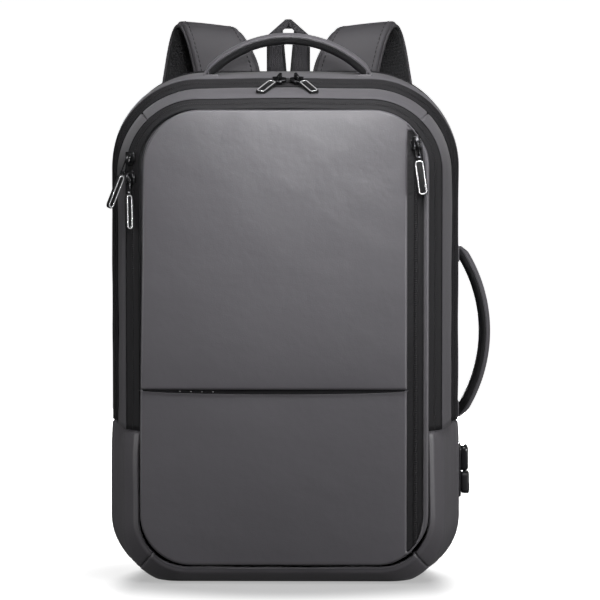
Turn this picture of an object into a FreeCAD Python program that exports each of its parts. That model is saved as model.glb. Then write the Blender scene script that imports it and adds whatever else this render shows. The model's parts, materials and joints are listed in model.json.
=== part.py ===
import FreeCAD, Part
import math
import os
import Sketcher

# A laptop backpack that stands on its base. Millimetres. +X is the side with the grab handle and
# the charging port, which is the wearer's right. +Y runs towards the shoulder straps and +Z is up.
# The origin is the middle of the face that it stands on.

Vector = FreeCAD.Vector

# Every wall follows a stack of rounded outlines, each square to Y. An outline has a depth along Y,
# half a width, a lowest and highest edge, and the radii of its upper and lower corners.
OUTLINES = {
    "panel": (-66, 126, 17, 415.8, 50, 45),
    "zipinner": (-64.5, 127, 16, 417.2, 51.5, 45.3),
    "chainfront": (-60.9, 131.4, 12, 420.4, 56, 46),
    "chainback": (-59.6, 132.9, 11, 421.3, 57, 46.3),
    "zipouter": (-56, 137.3, 3, 424, 62, 47),
    "frontedge": (-55.5, 137.8, -0.3, 424.4, 63, 47),
    "midedge": (-8.4, 148.3, 0, 434.3, 74, 50),
    "gapfront": (-8, 148.6, 0, 434.7, 74.5, 50),
    "coilfront": (-1.4, 151.2, 0, 438.4, 76, 51.5),
    "coilback": (-1, 151.4, 0, 438.7, 76, 51.5),
    "gapback": (5.6, 154.2, 0, 442.4, 78, 53),
    "backedge": (6, 154.5, -0.3, 442.6, 78.5, 53),
    "rearedge": (62, 152.5, 0, 448.5, 80, 53),
}

SIZES = {
    "wall": 3,
    "tape": 1.2,
    "coil_lift": 1,
    "coil_height": 1.1,
    "coil_width": 3,
    "coil_end": 4,
    "hinge_depth": 5,
    "seam_back": 139,
    "seam_front": 135,
    "seam_gap": 0.6,
    "fold_drop": 38,
    "mouth_height": 169,
    "mouth_gap": 2.5,
    "panel_thick": 2.6,
    "zip_left": 107.7,
    "zip_right": 122.6,
    "zip_low": 30,
    "zip_high": 397,
    "edge_gap": 0.3,
    "layer_gap": 0.1,
    "seam_clear": 14,
    "divider_gap": 0.3,
    "divider_clear": 1.2,
    "fold_tail": 2,
    "fold_lap": 0.8,
    "back_thick": 8,
    "pad_thick": 8,
    "pad_inner": 12,
    "pad_outer": 128,
    "pad_low": 118,
    "pad_high": 398,
    "lumbar_low": 30,
    "lumbar_high": 100,
    "lumbar_half": 104,
    "sleeve_half": 125,
    "sleeve_deep": 11,
    "sleeve_high": 292,
    "sleeve_low": 12,
    "sleeve_wall": 1.5,
    "slider_long": 11,
    "slider_wide": 8.4,
    "slider_thick": 2,
    "bridge_wide": 2.4,
    "bridge_long": 7,
    "bridge_high": 4,
    "pin_radius": 0.6,
    "eye_radius": 0.95,
    "pin_height": 2.2,
    "fork_inner": 1.6,
    "fork_outer": 2.7,
    "neck_start": 4.6,
    "ring_start": 14,
    "pull_long": 46,
    "pull_wide": 9,
    "pull_thick": 2.4,
    "rim_inset": 1.5,
    "rim_wide": 1,
    "rim_high": 0.5,
    "handle_span": 150,
    "handle_rise": 33,
    "handle_thick": 9,
    "handle_wide": 17,
    "handle_end": 4,
    "handle_depth": 30,
    "handle_height": 451,
    "handle_shift": 2,
    "side_span": 152,
    "side_rise": 24,
    "side_thick": 9.5,
    "side_wide": 26,
    "side_end": 5,
    "side_low": 140,
    "side_reach": 161,
    "tab_thick": 1,
    "tab_half": 7,
    "tab_inset": 6,
    "tab_base": 446.2,
    "side_depth": 34,
    "side_tab_half": 8,
    "side_tab_lift": 0.3,
    "handle_taper": 30,
    "side_taper": 34,
    "loop_depth": 66.8,
    "loop_thick": 1.8,
    "loop_base": 449,
    "loop_shoulder": 482,
    "loop_peak": 497,
    "loop_half": 19,
    "loop_middle": 2,
    "loop_tip": 3,
    "slot_low": 452,
    "slot_high": 489,
    "slot_narrow": 2.3,
    "slot_broad": 5,
    "usb_depth": 22,
    "usb_face": 154.8,
    "usb_plate": 3,
    "usb_wide": 24,
    "usb_low": 68,
    "usb_high": 116,
    "usb_radius": 5,
    "hood_low": 91.3,
    "hood_reach": 9.5,
    "hood_inset": 1.5,
    "hood_radius": 4.5,
    "hood_round": 3.5,
    "socket_height": 80.5,
    "socket_wide": 13.6,
    "socket_high": 6.2,
    "socket_long": 13,
    "socket_wall": 0.5,
    "socket_clear": 0.3,
    "cap_gap": 0.4,
    "cap_radius": 4,
    "cap_thick": 7,
    "cap_wide": 21,
    "cap_low": 71,
    "cap_high": 90.6,
    "strap_thick": 9,
    "mesh_thick": 2,
    "webbing_thick": 1.6,
    "webbing_wide": 25,
    "lock_wide": 36,
    "lock_high": 21,
    "lock_thick": 4,
    "lock_bar": 3.4,
    "lock_slot": 5,
    "lock_radius": 4,
    "lock_out": 104,
    "lock_depth": 93,
    "lock_top": 191,
    "anchor_low": 34,
    "anchor_high": 62,
    "anchor_inner": 122,
    "anchor_middle": 128,
    "anchor_outer": 138,
    "anchor_drop": 6,
    "patch_lift": 0.2,
    "patch_thick": 2.2,
    "yoke_half": 88,
    "yoke_high": 440,
    "yoke_gap": 4,
    "yoke_radius": 8,
    "pad_radius": 24,
    "lumbar_radius": 20,
}

doc = FreeCAD.newDocument("backpack")
sheet = doc.addObject("Spreadsheet::Sheet", "dims")


def fill_sheet():
    """Write every driving dimension to the sheet, each under its own alias."""
    cells = dict(SIZES)
    for name, numbers in OUTLINES.items():
        for suffix, number in zip(("depth", "half", "low", "high", "radius", "foot"), numbers):
            cells[f"{name}_{suffix}"] = number
    for row, (alias, number) in enumerate(cells.items(), start=1):
        sheet.set(f"A{row}", alias.replace("_", " "))
        sheet.set(f"B{row}", str(number))
        sheet.setAlias(f"B{row}", alias)
    doc.recompute()


def value(expression):
    """The number that an expression on the sheet gives."""
    return float(sheet.evalExpression(expression))


def dim(alias):
    """The value of one cell."""
    return value(f"dims.{alias}")


fill_sheet()
parts = []


# ---------------------------------------------------------------- sketches and features


def new_body(label):
    body = doc.addObject("PartDesign::Body", label)
    body.Label = label
    parts.append(body)
    return body


def sketch_on(body, name, role, offset="0"):
    """A sketch on one of the body's own origin planes, moved along its normal by an expression."""
    sketch = body.newObject("Sketcher::SketchObject", f"{body.Name}_{name}")
    plane = [item for item in body.Origin.OriginFeatures if item.Role == role][0]
    sketch.AttachmentSupport = [(plane, "")]
    sketch.MapMode = "FlatFace"
    sketch.setExpression("AttachmentOffset.Base.z", offset)
    return sketch


def pin_point(sketch, geometry, point, x, y):
    """Hold one point of a sketch at a place given by two expressions."""
    for kind, expression in (("DistanceX", x), ("DistanceY", y)):
        place = value(expression)
        index = sketch.addConstraint(Sketcher.Constraint(kind, -1, 1, geometry, point, place))
        sketch.setExpression(f"Constraints[{index}]", expression)


def polygon(sketch, corners):
    """A closed outline of straight edges; each corner is a pair of expressions."""
    first = sketch.GeometryCount
    places = [Vector(value(x), value(y), 0) for x, y in corners]
    count = len(places)
    for index in range(count):
        line = Part.LineSegment(places[index], places[(index + 1) % count])
        sketch.addGeometry(line, False)
    for index in range(count):
        following = first + (index + 1) % count
        sketch.addConstraint(Sketcher.Constraint("Coincident", first + index, 2, following, 1))
    for index, (x, y) in enumerate(corners):
        pin_point(sketch, first + index, 1, x, y)


def rectangle(sketch, left, right, low, high):
    polygon(sketch, [(left, low), (right, low), (right, high), (left, high)])


def rounded_rectangle(sketch, half, low, high, radius, middle="0", foot=""):
    """A rectangle about the line x = middle with tangent corner arcs; foot rounds the lower two."""
    foot = foot or radius
    first = sketch.GeometryCount
    w, lo, hi, r, f, x0 = [value(item) for item in (half, low, high, radius, foot, middle)]
    runs = [
        ((f - w, lo), (w - f, lo)),
        ((w, lo + f), (w, hi - r)),
        ((w - r, hi), (r - w, hi)),
        ((-w, hi - r), (-w, lo + f)),
    ]
    for start, end in runs:
        start_point = Vector(start[0] + x0, start[1], 0)
        sketch.addGeometry(Part.LineSegment(start_point, Vector(end[0] + x0, end[1], 0)), False)
    centres = [(w - f, lo + f, f), (w - r, hi - r, r), (r - w, hi - r, r), (f - w, lo + f, f)]
    for quarter, (x, y, size) in enumerate(centres):
        circle = Part.Circle(Vector(x + x0, y, 0), Vector(0, 0, 1), size)
        begin = (quarter - 1) * math.pi / 2
        sketch.addGeometry(Part.ArcOfCircle(circle, begin, begin + math.pi / 2), False)
    for side in range(4):
        arc = first + 4 + side
        sketch.addConstraint(Sketcher.Constraint("Tangent", first + side, 2, arc, 1))
        sketch.addConstraint(Sketcher.Constraint("Tangent", arc, 2, first + (side + 1) % 4, 1))
        way = "Horizontal" if side % 2 == 0 else "Vertical"
        sketch.addConstraint(Sketcher.Constraint(way, first + side))
    sketch.addConstraint(Sketcher.Constraint("Equal", first + 4, first + 7))
    sketch.addConstraint(Sketcher.Constraint("Equal", first + 5, first + 6))
    sizes = [
        (("Radius", first + 4), f, foot),
        (("Radius", first + 5), r, radius),
        (("DistanceX", -1, 1, first + 1, 1), w + x0, f"({middle}) + ({half})"),
        (("DistanceX", -1, 1, first + 3, 1), x0 - w, f"({middle}) - ({half})"),
        (("DistanceY", -1, 1, first, 1), lo, low),
        (("DistanceY", -1, 1, first + 2, 1), hi, high),
    ]
    for arguments, number, expression in sizes:
        index = sketch.addConstraint(Sketcher.Constraint(*arguments, number))
        sketch.setExpression(f"Constraints[{index}]", expression)


def pad(body, sketch, length, symmetric=False, reverse=False):
    feature = body.newObject("PartDesign::Pad", f"{sketch.Name}_pad")
    feature.Profile = sketch
    feature.setExpression("Length", length)
    if symmetric:
        feature.SideType = "Symmetric"
    feature.Reversed = reverse
    return feature


def cut(body, sketch, length="1000"):
    """Remove a sketch's area from the body, as far as length, half to each side of its plane."""
    feature = body.newObject("PartDesign::Pocket", f"{sketch.Name}_cut")
    feature.Profile = sketch
    feature.SideType = "Symmetric"
    feature.setExpression("Length", length)
    return feature


def keep_window(body, name, role, left, right, low, high):
    """Cut away everything outside a window, seen square to one origin plane."""
    sketch = sketch_on(body, name, role)
    rectangle(sketch, "-900", "900", "-900", "900")
    rectangle(sketch, left, right, low, high)
    cut(body, sketch)


# ---------------------------------------------------------------- walls made of outlines


def outline(body, name, station, inset="0", shift="0"):
    """One station's rounded outline, drawn inside it by an inset, on its own depth."""
    sketch = sketch_on(body, name, "XZ_Plane", f"-(dims.{station}_depth + {shift})")
    rounded_rectangle(
        sketch,
        f"dims.{station}_half - ({inset})",
        f"dims.{station}_low + ({inset})",
        f"dims.{station}_high - ({inset})",
        f"dims.{station}_radius - ({inset})",
        foot=f"dims.{station}_foot - ({inset})",
    )
    return sketch


def loft(body, kind, first, last):
    feature = body.newObject(f"PartDesign::{kind}Loft", f"{first.Name}_loft")
    feature.Profile = first
    feature.Sections = [last]
    feature.Ruled = True
    return feature


def loft_through(body, kind, name, stations, inset="0", over="0"):
    """Ruled lofts from each station to the next; the end sketches reach past them by over."""
    last = len(stations) - 2
    for index in range(last + 1):
        front, back = stations[index : index + 2]
        front_shift = f"-({over})" if index == 0 else "0"
        back_shift = over if index == last else "0"
        first = outline(body, f"{name}_front{index}", front, inset, front_shift)
        second = outline(body, f"{name}_back{index}", back, inset, back_shift)
        loft(body, kind, first, second)


def ring(label, stations, wall):
    """A band of wall that runs through a list of stations."""
    body = new_body(label)
    loft_through(body, "Additive", "outer", stations)
    loft_through(body, "Subtractive", "inner", stations, wall, "0.01")
    return body


SEAM_SLOPE = "(dims.seam_back - dims.seam_front) / (dims.hinge_depth - dims.panel_depth)"


def seam_height(depth, drop="0"):
    """Height of the boot seam at a depth: it rises towards the back."""
    return f"dims.seam_back + ({depth} - dims.hinge_depth) * {SEAM_SLOPE} - ({drop})"


def trim_at_seam(body, keep_above, drop_front="0", drop_back="0"):
    """Cut a body along the boot seam, seen from the side, and keep one side of it."""
    far = "-900" if keep_above else "900"
    sketch = sketch_on(body, "seam", "YZ_Plane")
    corners = [
        ("-90", seam_height("-90", drop_front)),
        ("dims.hinge_depth", seam_height("dims.hinge_depth", drop_back)),
        ("90", f"dims.seam_back - ({drop_back})"),
        ("90", far),
        ("-90", far),
    ]
    polygon(sketch, corners)
    cut(body, sketch)


def make_upper_walls():
    """Gussets and zip tapes: arches that end on the boot seam."""
    arches = [
        ("rear_gusset", ["backedge", "rearedge"], "dims.wall"),
        ("main_zip_rear_tape", ["coilback", "gapback"], "dims.tape"),
        ("main_zip_front_tape", ["gapfront", "coilfront"], "dims.tape"),
        ("middle_gusset", ["frontedge", "midedge"], "dims.wall"),
        ("front_zip_tape", ["zipinner", "zipouter"], "dims.tape"),
    ]
    for label, stations, wall in arches:
        trim_at_seam(ring(label, stations, wall), True)


def make_coils():
    """Coils of the two long zips: half a coil on each tape of the main zip, a whole one in front."""
    half_coil = "dims.coil_width / 2"
    coils = [
        ("main_zip_rear_coil", "coilback", "coilback", "0", half_coil),
        ("main_zip_front_coil", "coilfront", "coilfront", f"-{half_coil}", "0"),
        ("front_zip_coil", "chainfront", "chainback", "-0.5", "-0.5"),
    ]
    for label, front, back, start, end in coils:
        body = new_body(label)
        for kind, name, inset, over in (
            ("Additive", "outer", "-dims.coil_lift - dims.coil_height", "0"),
            ("Subtractive", "inner", "-dims.coil_lift", "0.01"),
        ):
            first = outline(body, f"{name}_front", front, inset, f"{start} - {over}")
            second = outline(body, f"{name}_back", back, inset, f"{end} + {over}")
            loft(body, kind, first, second)
        trim_at_seam(body, True)


def make_boot():
    """The boot: one reinforced tub with a flat sole, its front edge low enough for the fold."""
    body = new_body("base_boot")
    stations = ["panel", "frontedge", "backedge", "rearedge"]
    loft_through(body, "Additive", "outer", stations)
    hollow = outline(body, "hollow_front", "panel", "dims.wall", "dims.wall")
    loft(body, "Subtractive", hollow, outline(body, "hollow_back", "frontedge", "dims.wall"))
    loft_through(body, "Subtractive", "inner", stations[1:], "dims.wall", "0.01")
    trim_at_seam(body, False, "dims.fold_drop + dims.seam_gap", "dims.seam_gap")
    keep_window(body, "sole", "XZ_Plane", "-500", "500", "0", "500")
    hole = sketch_on(body, "socket_hole", "YZ_Plane", "dims.usb_face")
    rectangle(
        hole,
        "dims.usb_depth - dims.socket_wide / 2 - dims.socket_clear",
        "dims.usb_depth + dims.socket_wide / 2 + dims.socket_clear",
        "dims.socket_height - dims.socket_high / 2 - dims.socket_clear",
        "dims.socket_height + dims.socket_high / 2 + dims.socket_clear",
    )
    cut(body, hole, "20")
    return body


def make_boot_fold():
    """The top of the boot in front of the hinge line: the fabric that creases as the front opens."""
    body = ring("boot_fold", ["panel", "frontedge", "backedge"], "dims.wall")
    trim_at_seam(body, False, "dims.seam_gap", "dims.seam_gap")
    sketch = sketch_on(body, "lower_edge", "YZ_Plane")
    tail = "dims.hinge_depth - dims.fold_tail"
    corners = [
        ("-90", seam_height("-90", "dims.fold_drop")),
        (tail, seam_height(tail, "dims.fold_lap")),
        ("90", "dims.seam_back"),
        ("90", "-90"),
        ("-90", "-90"),
    ]
    polygon(sketch, corners)
    cut(body, sketch)


def slab(label, station, front, back, window=(), inset="0"):
    """A flat sheet with a station's outline, from a front depth to a back depth, cut to a window."""
    body = new_body(label)
    sketch = sketch_on(body, "outline", "XZ_Plane", f"-({back})")
    rounded_rectangle(
        sketch,
        f"dims.{station}_half - {inset}",
        f"dims.{station}_low + {inset}",
        f"dims.{station}_high - {inset}",
        f"dims.{station}_radius - {inset}",
        foot=f"dims.{station}_foot - {inset}",
    )
    pad(body, sketch, f"({back}) - ({front})")
    if window:
        keep_window(body, "window", "XZ_Plane", *window)
    return body


def make_front():
    """The front face: upper panel, slip pocket panel, upright zip and edge strip."""
    back = "dims.panel_depth"
    face = "dims.panel_depth - dims.panel_thick"
    mouth = "dims.mouth_height"
    for label, low, high, notch_low, notch_high in (
        ("front_upper_panel", f"{mouth} + dims.mouth_gap", "500", "-500", "dims.zip_high"),
        ("front_pocket_panel", "-500", mouth, "dims.zip_low", "500"),
    ):
        panel = slab(label, "panel", face, f"{back} - dims.layer_gap", ("-500", "500", low, high))
        notch = sketch_on(panel, "notch", "XZ_Plane")
        gap = "dims.edge_gap"
        rectangle(notch, "dims.zip_left", "500", f"{notch_low} - {gap}", f"{notch_high} + {gap}")
        cut(panel, notch)
    strip_window = ("dims.zip_right + dims.edge_gap", "500", "dims.zip_low", "dims.zip_high")
    slab("front_edge_strip", "panel", face, f"{back} - dims.layer_gap", strip_window)
    tape_face = f"{back} - dims.tape"
    tape_left = "dims.zip_left + dims.edge_gap"
    tape_window = (tape_left, "dims.zip_right", "dims.zip_low", "dims.zip_high")
    slab("pocket_zip_tape", "panel", tape_face, f"{back} - dims.layer_gap", tape_window)
    coil = new_body("pocket_zip_coil")
    sketch = sketch_on(coil, "outline", "XZ_Plane", "-(dims.panel_depth - dims.tape - dims.layer_gap)")
    middle = "(dims.zip_left + dims.zip_right) / 2"
    rectangle(
        sketch,
        f"{middle} - dims.coil_width / 2",
        f"{middle} + dims.coil_width / 2",
        "dims.zip_low + dims.coil_end",
        "dims.zip_high - dims.coil_end",
    )
    pad(coil, sketch, "dims.coil_height")
    lining_back = "dims.panel_depth + dims.wall"
    window = ("-500", "500", "dims.seam_front + dims.seam_clear", "500")
    front = f"{back} + dims.layer_gap"
    slab("front_lining", "panel", front, lining_back, window, "dims.sleeve_wall")


def make_divider():
    """The padded wall between the two compartments. It hangs from the middle gusset."""
    body = new_body("divider_panel")
    sketch = sketch_on(body, "outline", "XZ_Plane", "-(dims.midedge_depth - dims.divider_gap)")
    rounded_rectangle(
        sketch,
        "dims.midedge_half - dims.wall - dims.divider_clear",
        "dims.midedge_low + dims.seam_clear",
        "dims.midedge_high - dims.wall - dims.divider_clear",
        "dims.midedge_radius - dims.wall",
        foot="dims.midedge_foot - dims.wall",
    )
    pad(body, sketch, "dims.wall")
    low = "dims.seam_back + dims.seam_clear"
    keep_window(body, "window", "XZ_Plane", "-500", "500", low, "500")


def make_back():
    """Back panel, its three padded cushions and the laptop sleeve sewn to its inside."""
    face = "dims.rearedge_depth + dims.back_thick"
    slab("back_panel", "rearedge", "dims.rearedge_depth", face)
    middle = "(dims.pad_inner + dims.pad_outer) / 2"
    half = "(dims.pad_outer - dims.pad_inner) / 2"
    pads = [
        ("back_pad_right", middle, half, "pad"),
        ("back_pad_left", f"-({middle})", half, "pad"),
        ("lumbar_pad", "0", "dims.lumbar_half", "lumbar"),
    ]
    for label, centre, half_width, kind in pads:
        body = new_body(label)
        sketch = sketch_on(body, "outline", "XZ_Plane", f"-({face})")
        low, high, radius = [f"dims.{kind}_{name}" for name in ("low", "high", "radius")]
        rounded_rectangle(sketch, half_width, low, high, radius, centre)
        pad(body, sketch, "dims.pad_thick", reverse=True)
    sleeve = new_body("laptop_sleeve")
    sketch = sketch_on(sleeve, "outline", "XY_Plane", "dims.sleeve_low")
    inner_face = "dims.rearedge_depth"
    rectangle(
        sketch,
        "-dims.sleeve_half",
        "dims.sleeve_half",
        f"{inner_face} - dims.sleeve_deep",
        inner_face,
    )
    pad(sleeve, sketch, "dims.sleeve_high")
    hollow = sketch_on(sleeve, "hollow", "XY_Plane", "dims.sleeve_low + 2 * dims.sleeve_high")
    rectangle(
        hollow,
        "-dims.sleeve_half + dims.sleeve_wall",
        "dims.sleeve_half - dims.sleeve_wall",
        f"{inner_face} - dims.sleeve_deep + dims.sleeve_wall",
        f"{inner_face} + 1",
    )
    cut(sleeve, hollow, "2 * (2 * dims.sleeve_high - dims.sleeve_wall)")


# ---------------------------------------------------------------- sliders and pulls


def facing(origin, along, outward):
    """A placement whose X runs along one direction and whose Z points outward."""
    x_axis = Vector(*along).normalize()
    side = Vector(*outward).cross(x_axis).normalize()
    z_axis = x_axis.cross(side)
    return FreeCAD.Placement(Vector(*origin), FreeCAD.Rotation(x_axis, side, z_axis, "XYZ"))


def make_slider(label, turn):
    """A zip slider: a plate over the coil and an eyed bridge, swivelled to face its pull."""
    swivel = FreeCAD.Placement(Vector(0, 0, 0), FreeCAD.Rotation(Vector(0, 1, 0), turn))
    body = new_body(label)
    plate = sketch_on(body, "plate", "XY_Plane")
    half_wide = "dims.slider_wide / 2"
    half_long = "dims.slider_long / 2"
    corners = [
        (f"-{half_long}", f"-{half_wide} * 0.6"),
        (f"{half_long}", f"-{half_wide}"),
        (f"{half_long}", half_wide),
        (f"-{half_long}", f"{half_wide} * 0.6"),
    ]
    polygon(plate, corners)
    pad(body, plate, "dims.slider_thick")
    bridge = sketch_on(body, "bridge", "XZ_Plane")
    bridge.AttachmentOffset = swivel
    rectangle(
        bridge,
        "-dims.bridge_long / 2",
        "dims.bridge_long / 2",
        "dims.slider_thick / 2",
        "dims.slider_thick + dims.bridge_high",
    )
    pad(body, bridge, "dims.bridge_wide", symmetric=True)
    eye = sketch_on(body, "eye", "XZ_Plane")
    eye.AttachmentOffset = swivel
    height = "dims.slider_thick + dims.pin_height"
    radius = dim("eye_radius")
    circle = Part.Circle(Vector(0, value(height), 0), Vector(0, 0, 1), radius)
    index = eye.addGeometry(circle, False)
    pin_point(eye, index, 3, "0", height)
    size = eye.addConstraint(Sketcher.Constraint("Radius", index, radius))
    eye.setExpression(f"Constraints[{size}]", "dims.eye_radius")
    cut(body, eye, "20")
    return body


def make_pull(label, twisted):
    """A pull: a pin through the eye, a fork, a neck and a long ring. X runs down the pull."""
    body = new_body(label)
    pin = sketch_on(body, "pin", "XZ_Plane")
    radius = dim("pin_radius")
    index = pin.addGeometry(Part.Circle(Vector(0, 0, 0), Vector(0, 0, 1), radius), False)
    pin_point(pin, index, 3, "0", "0")
    size = pin.addConstraint(Sketcher.Constraint("Radius", index, radius))
    pin.setExpression(f"Constraints[{size}]", "dims.pin_radius")
    pad(body, pin, "2 * dims.fork_outer", symmetric=True)
    fork = sketch_on(body, "fork", "XY_Plane")
    fork_corners = [
        ("-dims.pin_radius", "-dims.fork_outer"),
        ("dims.ring_start + 1", "-dims.fork_outer"),
        ("dims.ring_start + 1", "dims.fork_outer"),
        ("-dims.pin_radius", "dims.fork_outer"),
        ("-dims.pin_radius", "dims.fork_inner"),
        ("dims.neck_start", "dims.fork_inner"),
        ("dims.neck_start", "-dims.fork_inner"),
        ("-dims.pin_radius", "-dims.fork_inner"),
    ]
    polygon(fork, fork_corners)
    pad(body, fork, "2 * dims.pin_radius", symmetric=True)
    tab = sketch_on(body, "ring", "XZ_Plane" if twisted else "XY_Plane")
    pull_tab(tab, "0")
    pad(body, tab, "dims.pull_thick", symmetric=True)
    return body


def pull_tab(sketch, inset):
    """The outline of the ring: a long slot lying along X."""
    middle = "(dims.ring_start + dims.pull_long) / 2"
    half = f"(dims.pull_long - dims.ring_start) / 2 - ({inset})"
    tall = f"dims.pull_wide / 2 - ({inset})"
    rounded_rectangle(sketch, half, f"-({tall})", tall, f"({tall}) * 0.8", middle)


def make_rim(label, twisted):
    """The bright rim let into the face of a pull."""
    body = new_body(label)
    role = "XZ_Plane" if twisted else "XY_Plane"
    sketch = sketch_on(body, "rim", role, "dims.pull_thick / 2")
    pull_tab(sketch, "dims.rim_inset")
    pull_tab(sketch, "dims.rim_inset + dims.rim_wide")
    pad(body, sketch, "dims.rim_high")
    return body


def make_zip_runners():
    """Five sliders with their pulls, each set on its own zip."""
    band_out = (-8.5, -13, 0)
    top_out = (0, -7.7, 13.6)
    zip_middle = value("(dims.zip_left + dims.zip_right) / 2")
    coil_front = dim("panel_depth") - dim("tape") - dim("coil_height") - 0.6
    runners = [
        ("main_left", (-5, -2.3, 441), (-1, 0, 0), top_out, (-0.36, -0.88, -0.30), False),
        ("main_right", (10.5, -2.3, 441), (1, 0, 0), top_out, (0.36, -0.88, -0.30), False),
        ("front_upper", (-133.4, -61.8, 373), (0, 0, 1), band_out, (-0.36, -0.10, -0.93), True),
        ("front_lower", (-133.4, -61.8, 357), (0, 0, -1), band_out, (0.02, -0.08, -1), True),
        ("pocket", (zip_middle, coil_front, 387), (0, 0, -1), (0, -1, 0), (0.14, -0.05, -1), False),
    ]
    eye_height = value("dims.slider_thick + dims.pin_height")
    for name, place, along, outward, hanging, twisted in runners:
        frame = facing(place, along, outward)
        lean = frame.Rotation.inverted().multVec(Vector(*hanging))
        slider = make_slider(f"{name}_slider", math.degrees(math.atan2(lean.y, lean.x)))
        slider.Placement = frame
        eye = Vector(*place) + Vector(*outward).normalize() * eye_height
        placement = facing(tuple(eye), hanging, outward)
        make_pull(f"{name}_pull", twisted).Placement = placement
        make_rim(f"{name}_pull_rim", twisted).Placement = placement


# ---------------------------------------------------------------- handles and hanging loop


def arched_handle(label, prefix):
    """A padded arch standing on its two ends, narrower across at the ends. X runs along its span."""
    body = new_body(label)
    half = dim(f"{prefix}_span") / 2
    rise = dim(f"{prefix}_rise")
    thick = dim(f"{prefix}_thick")
    sketch = sketch_on(body, "arch", "XZ_Plane")
    outer = Part.Arc(Vector(half, 0, 0), Vector(0, rise, 0), Vector(-half, 0, 0))
    inner_half = half - thick * 1.25
    inner = Part.Arc(Vector(inner_half, 0, 0), Vector(0, rise - thick, 0), Vector(-inner_half, 0, 0))
    sketch.addGeometry(outer, False)
    sketch.addGeometry(inner, False)
    sketch.addGeometry(Part.LineSegment(Vector(inner_half, 0, 0), Vector(half, 0, 0)), False)
    sketch.addGeometry(Part.LineSegment(Vector(-half, 0, 0), Vector(-inner_half, 0, 0)), False)
    sketch.addConstraint(Sketcher.Constraint("Coincident", 2, 2, 0, 1))
    sketch.addConstraint(Sketcher.Constraint("Coincident", 2, 1, 1, 1))
    sketch.addConstraint(Sketcher.Constraint("Coincident", 3, 1, 0, 2))
    sketch.addConstraint(Sketcher.Constraint("Coincident", 3, 2, 1, 2))
    foot = f"dims.{prefix}_span / 2"
    step = f"dims.{prefix}_thick * 1.25"
    pin_point(sketch, 2, 2, foot, "0")
    pin_point(sketch, 2, 1, f"{foot} - {step}", "0")
    pin_point(sketch, 3, 1, f"-{foot}", "0")
    pin_point(sketch, 3, 2, f"-{foot} + {step}", "0")
    outer_radius = f"(({foot})^2 + dims.{prefix}_rise^2) / (2 * dims.{prefix}_rise)"
    inner_rise = f"(dims.{prefix}_rise - dims.{prefix}_thick)"
    inner_radius = f"(({foot} - {step})^2 + {inner_rise}^2) / (2 * {inner_rise})"
    for arc, expression in ((0, outer_radius), (1, inner_radius)):
        index = sketch.addConstraint(Sketcher.Constraint("Radius", arc, value(expression)))
        sketch.setExpression(f"Constraints[{index}]", expression)
    pad(body, sketch, f"dims.{prefix}_wide", symmetric=True)
    corners = sketch_on(body, "taper", "XY_Plane")
    for side in ("", "-"):
        for edge in ("", "-"):
            triangle = [
                (f"{side}({foot} + 1)", f"{edge}(dims.{prefix}_end / 2)"),
                (f"{side}({foot} + 1)", f"{edge}(dims.{prefix}_wide)"),
                (f"{side}({foot} - dims.{prefix}_taper)", f"{edge}(dims.{prefix}_wide)"),
                (f"{side}({foot} - dims.{prefix}_taper)", f"{edge}(dims.{prefix}_wide / 2)"),
            ]
            polygon(corners, triangle)
    cut(body, corners)
    return body


def make_handles():
    """The carrying handle on top, the grab handle on the side, and the tabs that they are sewn to."""
    top = arched_handle("top_handle", "handle")
    place = Vector(dim("handle_shift"), dim("handle_depth"), dim("handle_height"))
    top.Placement = FreeCAD.Placement(place, FreeCAD.Rotation())
    side = arched_handle("side_handle", "side")
    middle = dim("side_low") + dim("side_span") / 2
    side_place = (dim("side_reach"), dim("side_depth"), middle)
    side.Placement = facing(side_place, (0, 0, 1), (1, 0, 0))
    tabs = new_body("top_handle_tabs")
    sketch = sketch_on(tabs, "tabs", "XY_Plane", "dims.tab_base")
    half = "dims.tab_half"
    for sign in ("-", "+"):
        foot = f"dims.handle_shift {sign} (dims.handle_span / 2 - dims.tab_inset)"
        depth = "dims.handle_depth"
        rectangle(
            sketch, f"{foot} - {half}", f"{foot} + {half}", f"{depth} - {half}", f"{depth} + {half}"
        )
    pad(tabs, sketch, "dims.tab_thick")
    side_tabs = new_body("side_handle_tabs")
    face = "dims.backedge_half + dims.side_tab_lift"
    tab_sketch = sketch_on(side_tabs, "tabs", "YZ_Plane", face)
    low_foot = "dims.side_low + dims.tab_inset"
    for foot in (low_foot, "dims.side_low + dims.side_span - dims.tab_inset"):
        rectangle(
            tab_sketch,
            "dims.side_depth - dims.side_tab_half",
            "dims.side_depth + dims.side_tab_half",
            f"{foot} - {half}",
            f"{foot} + {half}",
        )
    pad(side_tabs, tab_sketch, "dims.tab_thick")


def make_hang_loop():
    """Webbing folded to a peak, with a slot between its two legs."""
    body = new_body("hang_loop")
    sketch = sketch_on(body, "outline", "XZ_Plane", "-(dims.loop_depth + dims.loop_thick)")
    middle = "dims.loop_middle"
    house = [
        (f"{middle} - dims.loop_half", "dims.loop_base"),
        (f"{middle} + dims.loop_half", "dims.loop_base"),
        (f"{middle} + dims.loop_half", "dims.loop_shoulder"),
        (f"{middle} + dims.loop_tip", "dims.loop_peak"),
        (f"{middle} - dims.loop_tip", "dims.loop_peak"),
        (f"{middle} - dims.loop_half", "dims.loop_shoulder"),
    ]
    polygon(sketch, house)
    pad(body, sketch, "dims.loop_thick")
    slot = sketch_on(body, "slot", "XZ_Plane")
    edges = [
        (f"{middle} - dims.slot_narrow", "dims.slot_low"),
        (f"{middle} + dims.slot_narrow", "dims.slot_low"),
        (f"{middle} + dims.slot_broad", "dims.slot_high"),
        (f"{middle} - dims.slot_broad", "dims.slot_high"),
    ]
    polygon(slot, edges)
    cut(body, slot)


# ---------------------------------------------------------------- charging port


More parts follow.
